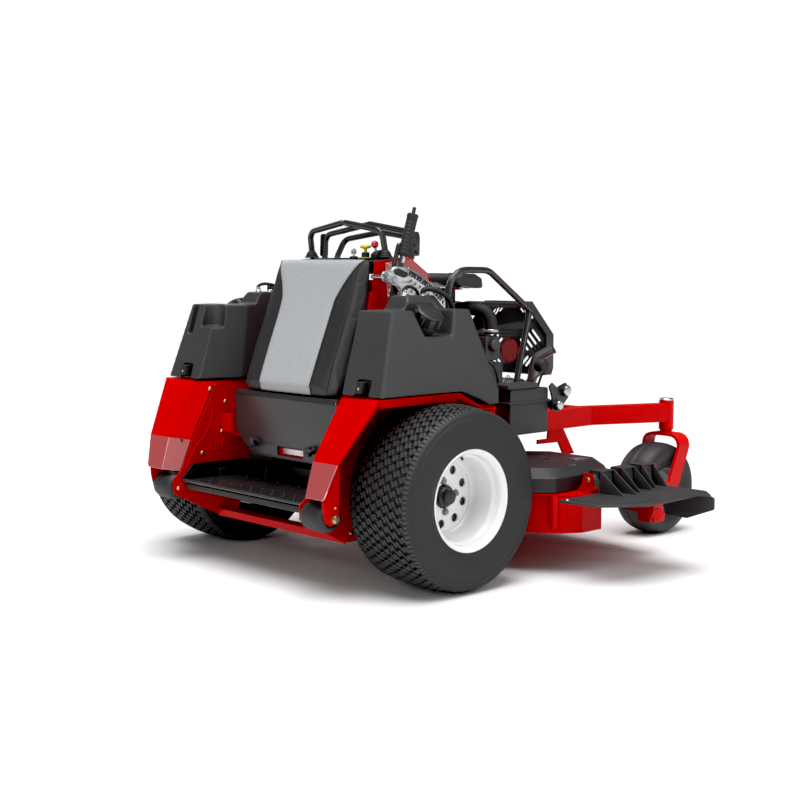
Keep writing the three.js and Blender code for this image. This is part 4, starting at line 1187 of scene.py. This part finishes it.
battery = Form()
battery.plate("x", [rounded([(470, 448), (672, 448), (672, 612), (470, 612)], 10)], 364, 440, 3)
battery.plate("x", [rounded([(452, 614), (612, 614), (612, 632), (452, 632)], 5)], 366, 446, 3)
battery.plate("x", [rounded([(462, 560), (680, 560), (680, 568), (462, 568)], 3)], 366, 444, 1.5)
battery.plate("x", [rounded([(480, 606), (600, 606), (600, 618), (480, 618)], 3)], 370, 436, 2)
make("battery_box_shell", battery, "chassis", "tank", replaces="battery_box")
wiring = Form()
wiring.hose([(430, 600, 640), (436, 640, 668), (420, 672, 676), (404, 668, 640), (398, 640, 560)], 4.5)
wiring.hose([(380, 470, 636), (390, 440, 690), (366, 420, 716), (330, 410, 690)], 4.0)
wiring.lathe("x", [(0, 396), (20, 396), (24, 400), (24, 432), (20, 436), (0, 436)], (660, 690), 30)
make("battery_wiring", wiring, "chassis", "boot", angle=50)

# ---------------------------------------------------------------- frame, side plates and rollers
reshaped("main_frame", "frame_weldment", "chassis", "red", 1.6)
reshaped("lower_crossmember", "crossmember_angle", "chassis", "red", 1.2)
for side in ("right", "left"):
    reshaped(f"side_plate_{side}", f"side_plate_{side}_sheet", "chassis", "red", 1.2)
    reshaped(f"caster_arm_{side}", f"caster_arm_{side}_beam", "chassis", "red", 2.5, 3)
    reshaped(f"hydro_unit_{side}", f"hydro_unit_{side}_casting", "chassis", "engine", 3.0, 3)
    reshaped(f"belt_cover_{side}", f"belt_cover_{side}_lid", "deck", "plastic", 3.0, 3)
reliefs = Form()
reliefs.tube([(356.6, -262, 590), (356.6, -250, 520), (356.6, -280, 450), (356.6, -330, 400),
              (356.6, -372, 330)], 2.6, 40, 8)
reliefs.tube([(356.6, -190, 600), (356.6, -186, 470), (356.6, -214, 400)], 2.6, 30, 8)
for y in (-250, -222):
    reliefs.tube([(356.6, y - 8, 410), (356.6, y - 8, 384), (356.6, y + 8, 384), (356.6, y + 8, 410)], 2.4,
                 7, 8)
pair("side_plate_relief", reliefs, "chassis", "red", angle=60)
bolts = Form()
for y, z in ((-262, 610), (-196, 560), (-212, 452), (-300, 380), (-404, 262)):
    bolts.bolt("x", (357, y, z), 8, 6, way=-1, kind="dome")
for y, z in ((-300, 300), (-210, 180), (-150, 168), (60, 230)):
    bolts.bolt("x", (363, y, z), 7, 6)
bolts.bolt("x", (500.2, -391, 265), 10, 7)
bolts.lathe("x", [(13.8, 490.4), (16, 490.4), (15.2, 500), (13.8, 500)], (-391, 265), 28, loop=True)
bolts.bolt("x", (490, -384, 300), 5, 4, kind="dome")
pair("side_plate_bolt", bolts, "chassis", "gold")
dark_bolts = Form()
dark_bolts.bolt("y", (374, -376, 432), 6, 5, way=-1, kind="dome")
pair("fender_bolt", dark_bolts, "chassis", "boot")
bracket = Form().plate("y", [rounded([(300, 452), (357, 452), (357, 520), (300, 520)], 5)], -214, -210, 1)
bracket.plate("x", [rounded([(-212, 452), (-180, 452), (-180, 520), (-212, 520)], 5)], 300, 304, 1)
pair("side_plate_bracket", bracket, "chassis", "red")

roller = Form().lathe("x", [(30, 368), (36, 369), (41.5, 373), (45.5, 380), (48, 391), (49, 406), (49, 442),
                            (48, 457),
                            (45.5, 468), (41.5, 475), (36, 479), (30, 480), (29, 470), (29,
                                378)], ROLLER_AT, 56, loop=True)
pair("rear_roller_rubber", roller, "roller", "roller", replaces="rear_roller", angle=50)
spokes = Form().lathe("x", [(9.5, 372), (15, 372), (15, 476), (9.5, 476)], ROLLER_AT, 24, loop=True)
spokes.lathe("x", [(9.5, 420), (29.5, 420), (29.5, 428), (9.5, 428)], ROLLER_AT, 32, loop=True)
for i in range(8):
    a = 2 * math.pi * i / 8
    spokes.rings([[(x, ROLLER_AT[0] + r * math.cos(a) + d * math.sin(a),
                    ROLLER_AT[1] + r * math.sin(a) - d * math.cos(a))
                   for r, d in ((14, -1.5), (29.5, -1.5), (29.5, 1.5), (14, 1.5))] for x in (374, 474)])
pair("rear_roller_hub", spokes, "roller", "plastic")

# ---------------------------------------------------------------- foot platform
HOLE_ROWS = [circle(7, (x, y), 18) for x in range(-300, 301, 60) for y in (-352, -300, -190)]
HOLE_ROWS += [circle(7, (x, y), 18) for x in range(-270, 271, 60) for y in (-326, -164)]
platform = Form()
platform.plate("z", [rounded([(-345, -390), (345, -390), (345, -121), (-345, -121)], 4)] + HOLE_ROWS, 286,
               292, 1)
lip = [(-393, 284), (-120, 284), (-120, 344), (-345, 347), (-393, 300)]
for low in (345, -350):
    platform.plate("x", [rounded(lip, 4)], low, low + 5, 1.2)
platform.plate("y", [rounded([(-350, 284), (350, 284), (350, 344), (-350, 344)], 3)], -126, -121, 1)
platform.tube([(-349, -389, 291), (349, -389, 291)], 5.0, 0, 14)
for x in range(-340, 341, 10):
    platform.tube([(x, -392.5, 286), (x, -388, 296.2), (x, -376, 293)], 1.7, 0, 6)
for low in (328, -350):
    platform.block((low, low + 22), (-239, -211), (284, 320))
make("foot_platform_tread", platform, "foot_platform", "black", bevel=0, replaces="foot_platform", angle=30)
under = Form().plate("x", [rounded([(-388, 262), (-360, 262), (-356, 283), (-390, 283)], 4)], -330, 330, 3)
make("platform_bumper", under, "foot_platform", "boot")
brackets = Form()
brackets.plate("x", [rounded([(-200, 293), (-140, 293), (-140, 340), (-186, 350)], 5)], 116, 120, 1)
brackets.plate("x", [rounded([(-200, 293), (-140, 293), (-140, 340), (-186, 350)], 5)], -124, -120, 1)
make("platform_brackets", brackets, "foot_platform", "black")

# ---------------------------------------------------------------- under the platform
filter_can = Form().lathe("x", [(0, -40), (30, -40), (34, -36), (34, 50), (30, 56), (0, 56)], (-58, 240), 40)
filter_can.lathe("x", [(0, 56), (38, 56), (38, 84), (0, 84)], (-58, 240), 40)
make("hydraulic_filter", filter_can, "chassis", "engine")
rod = Form().tube([(-340, -120, 206), (340, -120, 206)], 7, 0, 16)
make("brake_cross_rod", rod, "chassis", "zinc")
shield = Form().plate("z", [rounded([(-300, -168), (300, -168), (300, 120), (-300, 120)], 14)], 196, 199, 1)
make("underside_shield", shield, "chassis", "grey")
lines = Form()
for way_x in (1, -1):
    lines.hose([(way_x * 60, -130, 236), (way_x * 140, -100, 260), (way_x * 230, -60, 300),
                (way_x * 262, 0, 404)], 9)
    lines.hose([(way_x * 262, 40, 402), (way_x * 240, 130, 430), (way_x * 160, 220, 470),
                (way_x * 120, 300, 500)], 9)
make("hydraulic_hoses", lines, "chassis", "boot", angle=50)
fittings = Form()
for way_x in (1, -1):
    fittings.bolt("z", (way_x * 262, 20, 424), 12, 16)
    fittings.bolt("z", (way_x * 262, -40, 424), 10, 12)
make("hydraulic_fittings", fittings, "chassis", "zinc")

# ---------------------------------------------------------------- tank fittings
latches = Form()
latches.plate("x", [rounded([(-292, 652), (-262, 652), (-262, 690), (-284, 690)], 4)], 476, 506, 2)
pair("tank_latch", latches, "chassis", "boot")
latch_bolt = Form().bolt("y", (491, -286, 668), 5, 4, way=-1)
pair("tank_latch_bolt", latch_bolt, "chassis", "gold")
fuel_line = Form()
fuel_line.hose([(400, -8, 952), (400, -8, 976), (392, 24, 984), (372, 76, 968), (352, 110, 930),
                (330, 150, 880)], 5.5)
fuel_line.hose([(420, 60, 952), (424, 62, 974), (452, 92, 972), (470, 128, 946), (462, 160, 905)], 9)
pair("tank_hose", fuel_line, "chassis", "boot", angle=50)
nipples = Form()
for x, y in ((400, -8), (420, 60), (392, 84)):
    nipples.bolt("z", (x, y, 953), 11, 9)
    nipples.lathe("z", [(0, 960), (7, 960), (8, 968), (6, 974), (0, 974)], (x, y), 20)
pair("tank_fitting", nipples, "chassis", "zinc")
neck = Form().lathe("z", [(34, -26), (41, -26), (41, -4), (38, 0), (34, 0)], (0, 0), 32, loop=True)
pair("tank_filler_neck", neck.turned(CAP_LEAN).placed(CAP_AT), "chassis", "tank")

# ---------------------------------------------------------------- casters
CASTER_X, CASTER_AXLE, PIVOT_Y = 469.0, (1277.0, 179.4), 1348.0
caster_side = [(80, 54), (86, 58), (92, 58.5), (98, 60.5), (112, 66.5), (128, 71.2), (140, 72.8),
               (152, 71.2), (161, 66),
               (168, 58), (173, 46), (176.4, 32), (178.2, 18), (178.5, 3.2), (177.2, 1.4)]
caster_profile = [(r, CASTER_X + t) for r, t in caster_side] + [(r, CASTER_X - t) for r,
                                                                t in caster_side[::-1]]
pair("caster_tyre_smooth", Form().lathe("x", caster_profile, CASTER_AXLE, 96, loop=True), "caster_wheel",
     "caster_tyre",
     replaces="caster_tyre", angle=50)
rim_side = [(9, 74), (20, 74), (23, 72), (24, 66), (24, 30), (30, 26), (60, 24), (66, 27), (71, 40),
            (76, 52), (80.5, 56),
            (82.5, 57)]
rim_profile = [(r, CASTER_X + t) for r, t in rim_side] + [(r, CASTER_X - t) for r, t in rim_side[::-1]]
pair("caster_rim_hub", Form().lathe("x", rim_profile, CASTER_AXLE, 64, loop=True), "caster_wheel", "grey",
     replaces="caster_rim", angle=40)
FORK_STATIONS = [  # half of the bent strip: (across, z, y low, y high)
    (90, 139, 1266, 1288), (90, 148, 1255, 1299), (90, 165, 1246, 1307), (90, 190, 1241, 1315), (90, 338,
        1311, 1382),
    (90, 352, 1312, 1382), (84.5, 370, 1312, 1382), (72, 384, 1312, 1382), (54, 391.5, 1312, 1382),
    (40, 393, 1312, 1382),
]
FORK_THICKNESS = 11.0


def fork_strip():
    """One bent strip: both legs and the arch, its thickness inside the bend."""
    stations = FORK_STATIONS + [(-u, z, low, high) for u, z, low, high in FORK_STATIONS[::-1]]
    rings = []
    for i, (u, z, low, high) in enumerate(stations):
        back = stations[max(0, i - 1)]
        ahead = stations[min(len(stations) - 1, i + 1)]
        along = Vector((ahead[0] - back[0], ahead[1] - back[1])).normalized()
        inner = (u - along.y * FORK_THICKNESS, z + along.x * FORK_THICKNESS)
        ring = []
        for place, inset in (((u, z), 1.5), (inner, 1.5)):
            edge = 0.0 if place is inner else inset
            ring.append((CASTER_X + place[0], low + edge, place[1]))
            ring.append((CASTER_X + place[0], high - edge, place[1]))
        rings.append([ring[0], ring[1], ring[3], ring[2]])
    return Form().rings(rings)


fork = fork_strip()
fork.lathe("z", [(13, 388), (24, 388), (24, 403), (20, 405), (13, 405)], (CASTER_X, PIVOT_Y), 32, loop=True)
pair("caster_fork_steel", fork, "caster_fork", "red", replaces="caster_fork", angle=35)
caster_metal = Form()
caster_metal.lathe("x", [(0, CASTER_X - 100), (8, CASTER_X - 100), (8, CASTER_X + 100),
                         (0, CASTER_X + 100)], CASTER_AXLE, 20)
for foot, way_x in ((90, 1), (-90, -1)):
    caster_metal.bolt("x", (CASTER_X + foot, *CASTER_AXLE), 13, 12, way=way_x)
pair("caster_axle_bolt", caster_metal, "caster_fork", "zinc")
stem_form = Form().lathe("z", [(0, 400), (13, 400), (13, 524), (0, 524)], (CASTER_X, PIVOT_Y), 24)
pair("caster_stem", stem_form, "caster_fork", "hub")
dust_cap = Form().lathe("z", [(14.2, 521), (29, 521), (29, 525), (26, 528), (14.2, 529)],
                        (CASTER_X, PIVOT_Y), 40, loop=True)
pair("caster_dust_cap", dust_cap, "chassis", "zinc")

# ---------------------------------------------------------------- cutting deck
reshaped("deck_shell", "deck_weldment", "deck", "red", 1.6)
for name in ("right", "center", "left"):
    reshaped(f"spindle_blade_{name}", f"spindle_{name}_blade", f"spindle_{name}", "steel", 1.0)
deck_bits = Form()
for x, y in ((690, 520), (700, 830), (560, 350), (470, 820), (260, 330), (640, 930)):
    deck_bits.bolt("z", (x, y, 278), 8, 7)
    deck_bits.bolt("z", (-x, y, 278), 8, 7)
for y in (515, 885):
    deck_bits.bolt("y", (760, y, 325), 8, 6, way=-1 if y < 700 else 1)
make("deck_bolts", deck_bits, "deck", "gold")
deck_plates = Form()
deck_plates.plate("y", [rounded([(700, 128), (752, 128), (768, 170), (768, 262), (700, 262)], 8)], 876, 884,
                  1.2)
deck_plates.plate("x", [rounded([(900, 122), (966, 122), (972, 150), (950, 172), (900, 172)], 8)], 744, 750,
                  1.2)
deck_plates.plate("x", [rounded([(884, 180), (990, 172), (990, 270), (884, 270)], 8)], 746, 751, 1.2)
make("deck_side_plates", deck_plates, "deck", "red")
cover_bits = Form()
for way_x in (1, -1):
    cover_bits.plate("z", [rounded([(way_x * 560, 640), (way_x * 600, 640), (way_x * 610, 700),
                                    (way_x * 570, 700)], 5)],
                     362, 365, 1)
    cover_bits.tube([(way_x * 640, 470, 352), (way_x * 652, 520, 358), (way_x * 648, 580, 356)], 4, 0, 10)
make("belt_cover_latches", cover_bits, "deck", "zinc")

# ---------------------------------------------------------------- discharge chute
CHUTE_PLAN = [(778, 344), (820, 344), (933, 358), (1030, 490), (1033, 560), (1018, 785), (1070, 797),
              (1000, 866),
              (778, 866)]
chute = Form()
chute.plate("z", [rounded(CHUTE_PLAN, 8)], 268, 276, 2)
for y, width, reach in ((550, 72, 108), (664, 72, 88), (778, 66, 66)):
    face = [(738, 302), (738, 352), (790, 352), (790 + reach, 272), (779, 272), (779, 302)]
    for edge_y in (y, y + width - 4):
        chute.plate("y", [rounded(face, 4)], edge_y, edge_y + 4, 1.2)
    chute.plate("z", [rounded([(738, y), (791, y), (791, y + width), (738, y + width)], 4)], 348, 352.5, 1.2)
    chute.block((779, 783), (y, y + width), (272, 350))
    chute.block((738, 742), (y, y + width), (302, 350))
chute.block((779, 785), (548, 864), (270, 318))
chute.plate("y", [rounded([(830, 270), (1040, 270), (1062, 262), (1062, 222), (950, 178), (860, 180)], 8)],
            822, 828, 1.5)
for low, high in ((531, 560), (838, 869)):
    chute.lathe("y", [(7, low), (14, low), (14, high), (7, high)], (760, 325), 32, loop=True)
    chute.block((758, 782), (low + 1, high - 2), (300, 325))
chute.plate("z", [rounded([(800, 380), (920, 392), (990, 490), (990, 560), (960, 640), (800, 520)], 16)],
            275, 278, 1)
make("discharge_chute_deflector", chute, "chute", "rubber", replaces="discharge_chute", angle=30)
chute_bolts = Form()
for x, y in ((800, 362), (800, 850)):
    chute_bolts.bolt("z", (x, y, 276), 7, 5, kind="dome")
make("discharge_chute_bolts", chute_bolts, "chute", "zinc")

# ---------------------------------------------------------------- camera, lights, floor
EYE = DATUM + Vector((3.7557, -3.1194, 1.0669))
camera_data = bpy.data.cameras.new("camera")
camera_data.lens = 62.054
camera_data.sensor_width = 36.0
camera = bpy.data.objects.new("camera", camera_data)
camera.location = EYE
camera.rotation_euler = (math.radians(90 - 5.7332), 0.0, math.radians(47.3332))
bpy.context.scene.collection.objects.link(camera)
bpy.context.scene.camera = camera


def area_light(name, place, target, size, power, shape_ratio=1.0):
    data = bpy.data.lights.new(name, "AREA")
    data.shape = "RECTANGLE"
    data.size = size
    data.size_y = size * shape_ratio
    data.energy = power
    lamp = bpy.data.objects.new(name, data)
    lamp.location = DATUM + Vector(place)
    aim = DATUM + Vector(target) - lamp.location
    lamp.rotation_euler = aim.to_track_quat("-Z", "Y").to_euler()
    bpy.context.scene.collection.objects.link(lamp)


area_light("right_softbox", (4.0, 1.2, 2.6), (0.2, 0.4, 0.5), 2.4, 60)
area_light("rear_softbox", (1.4, -4.6, 2.2), (0.0, 0.2, 0.6), 2.4, 55)
area_light("left_softbox", (-4.4, 1.5, 2.6), (0.0, 0.4, 0.6), 2.6, 45)

sun_data = bpy.data.lights.new("overhead_sky", "SUN")
sun_data.energy = 3.5
sun_data.angle = math.radians(48)
sun = bpy.data.objects.new("overhead_sky", sun_data)
sun.rotation_euler = (math.radians(8), math.radians(6), 0.0)
bpy.context.scene.collection.objects.link(sun)

world = bpy.data.worlds.new("studio")
world.use_nodes = True
bpy.context.scene.world = world
tree = world.node_tree
background = tree.nodes["Background"]
background.inputs["Color"].default_value = (1.0, 1.0, 1.0, 1.0)
background.inputs["Strength"].default_value = 0.15
bright = tree.nodes.new("ShaderNodeBackground")
bright.inputs["Color"].default_value = (1.0, 1.0, 1.0, 1.0)
bright.inputs["Strength"].default_value = 1.05
paths = tree.nodes.new("ShaderNodeLightPath")
choice = tree.nodes.new("ShaderNodeMixShader")
tree.links.new(paths.outputs["Is Camera Ray"], choice.inputs["Fac"])
tree.links.new(background.outputs["Background"], choice.inputs[1])
tree.links.new(bright.outputs["Background"], choice.inputs[2])
tree.links.new(choice.outputs["Shader"], tree.nodes["World Output"].inputs["Surface"])

floor_mesh = bpy.data.meshes.new("floor")
FLOOR_HALF = 40.0
floor_mesh.from_pydata([DATUM + Vector((x * FLOOR_HALF, y * FLOOR_HALF, 0)) for x, y in
                        ((-1, -1), (1, -1), (1, 1), (-1, 1))], [], [(0, 1, 2, 3)])
floor = bpy.data.objects.new("floor", floor_mesh)
bpy.context.scene.collection.objects.link(floor)
floor_mesh.materials.append(surface("pale_floor", (0.86, 0.86, 0.86), 0.85, shade=0.995, bump=0.0,
                                    patch=0.5, specular=0.1))

scene = bpy.context.scene
scene.view_settings.view_transform = "Standard"
scene.view_settings.look = "None"
scene.view_settings.exposure = 0.0
scene.view_settings.use_curve_mapping = True
scene.view_settings.curve_mapping.black_level = (0.012, 0.012, 0.012)

# Every CAD node that still shows gets its finish here.
NODE_FINISH = {
    "hydro_unit": "engine", "main_frame": "red", "side_plate": "red", "lower_crossmember": "red",
    "rear_roller": "roller", "foot_platform": "black", "rear_cover": "cover", "cover_knob": "plastic",
    "thigh_cushion": "vinyl", "console": "red", "dash_panel": "plastic", "drive_lever": "black",
    "reference_bar": "black", "pto_knob": "yellow", "throttle_lever": "ball", "ignition_key": "zinc",
    "deck_height_lever": "black", "lever_button": "plastic", "height_sector_plate": "zinc",
    "deck_lift_shaft": "black", "engine": "engine", "air_cleaner": "plastic", "muffler": "muffler",
    "engine_guard": "black", "guard_plate": "black", "guard_disc": "red_disc", "battery_box": "tank",
    "caster_arm": "red", "caster_fork": "red", "caster_tyre": "caster_tyre", "caster_rim": "grey",
    "deck_shell": "red", "belt_cover": "plastic", "spindle_blade": "steel", "discharge_chute": "rubber",
}
for node_name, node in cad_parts.items():
    if node.hide_render:
        continue
    for start, finish in NODE_FINISH.items():
        if node_name.startswith(start):
            for index in range(max(1, len(node.data.materials))):
                if node.data.materials:
                    node.data.materials[index] = FINISH[finish]
                else:
                    node.data.materials.append(FINISH[finish])
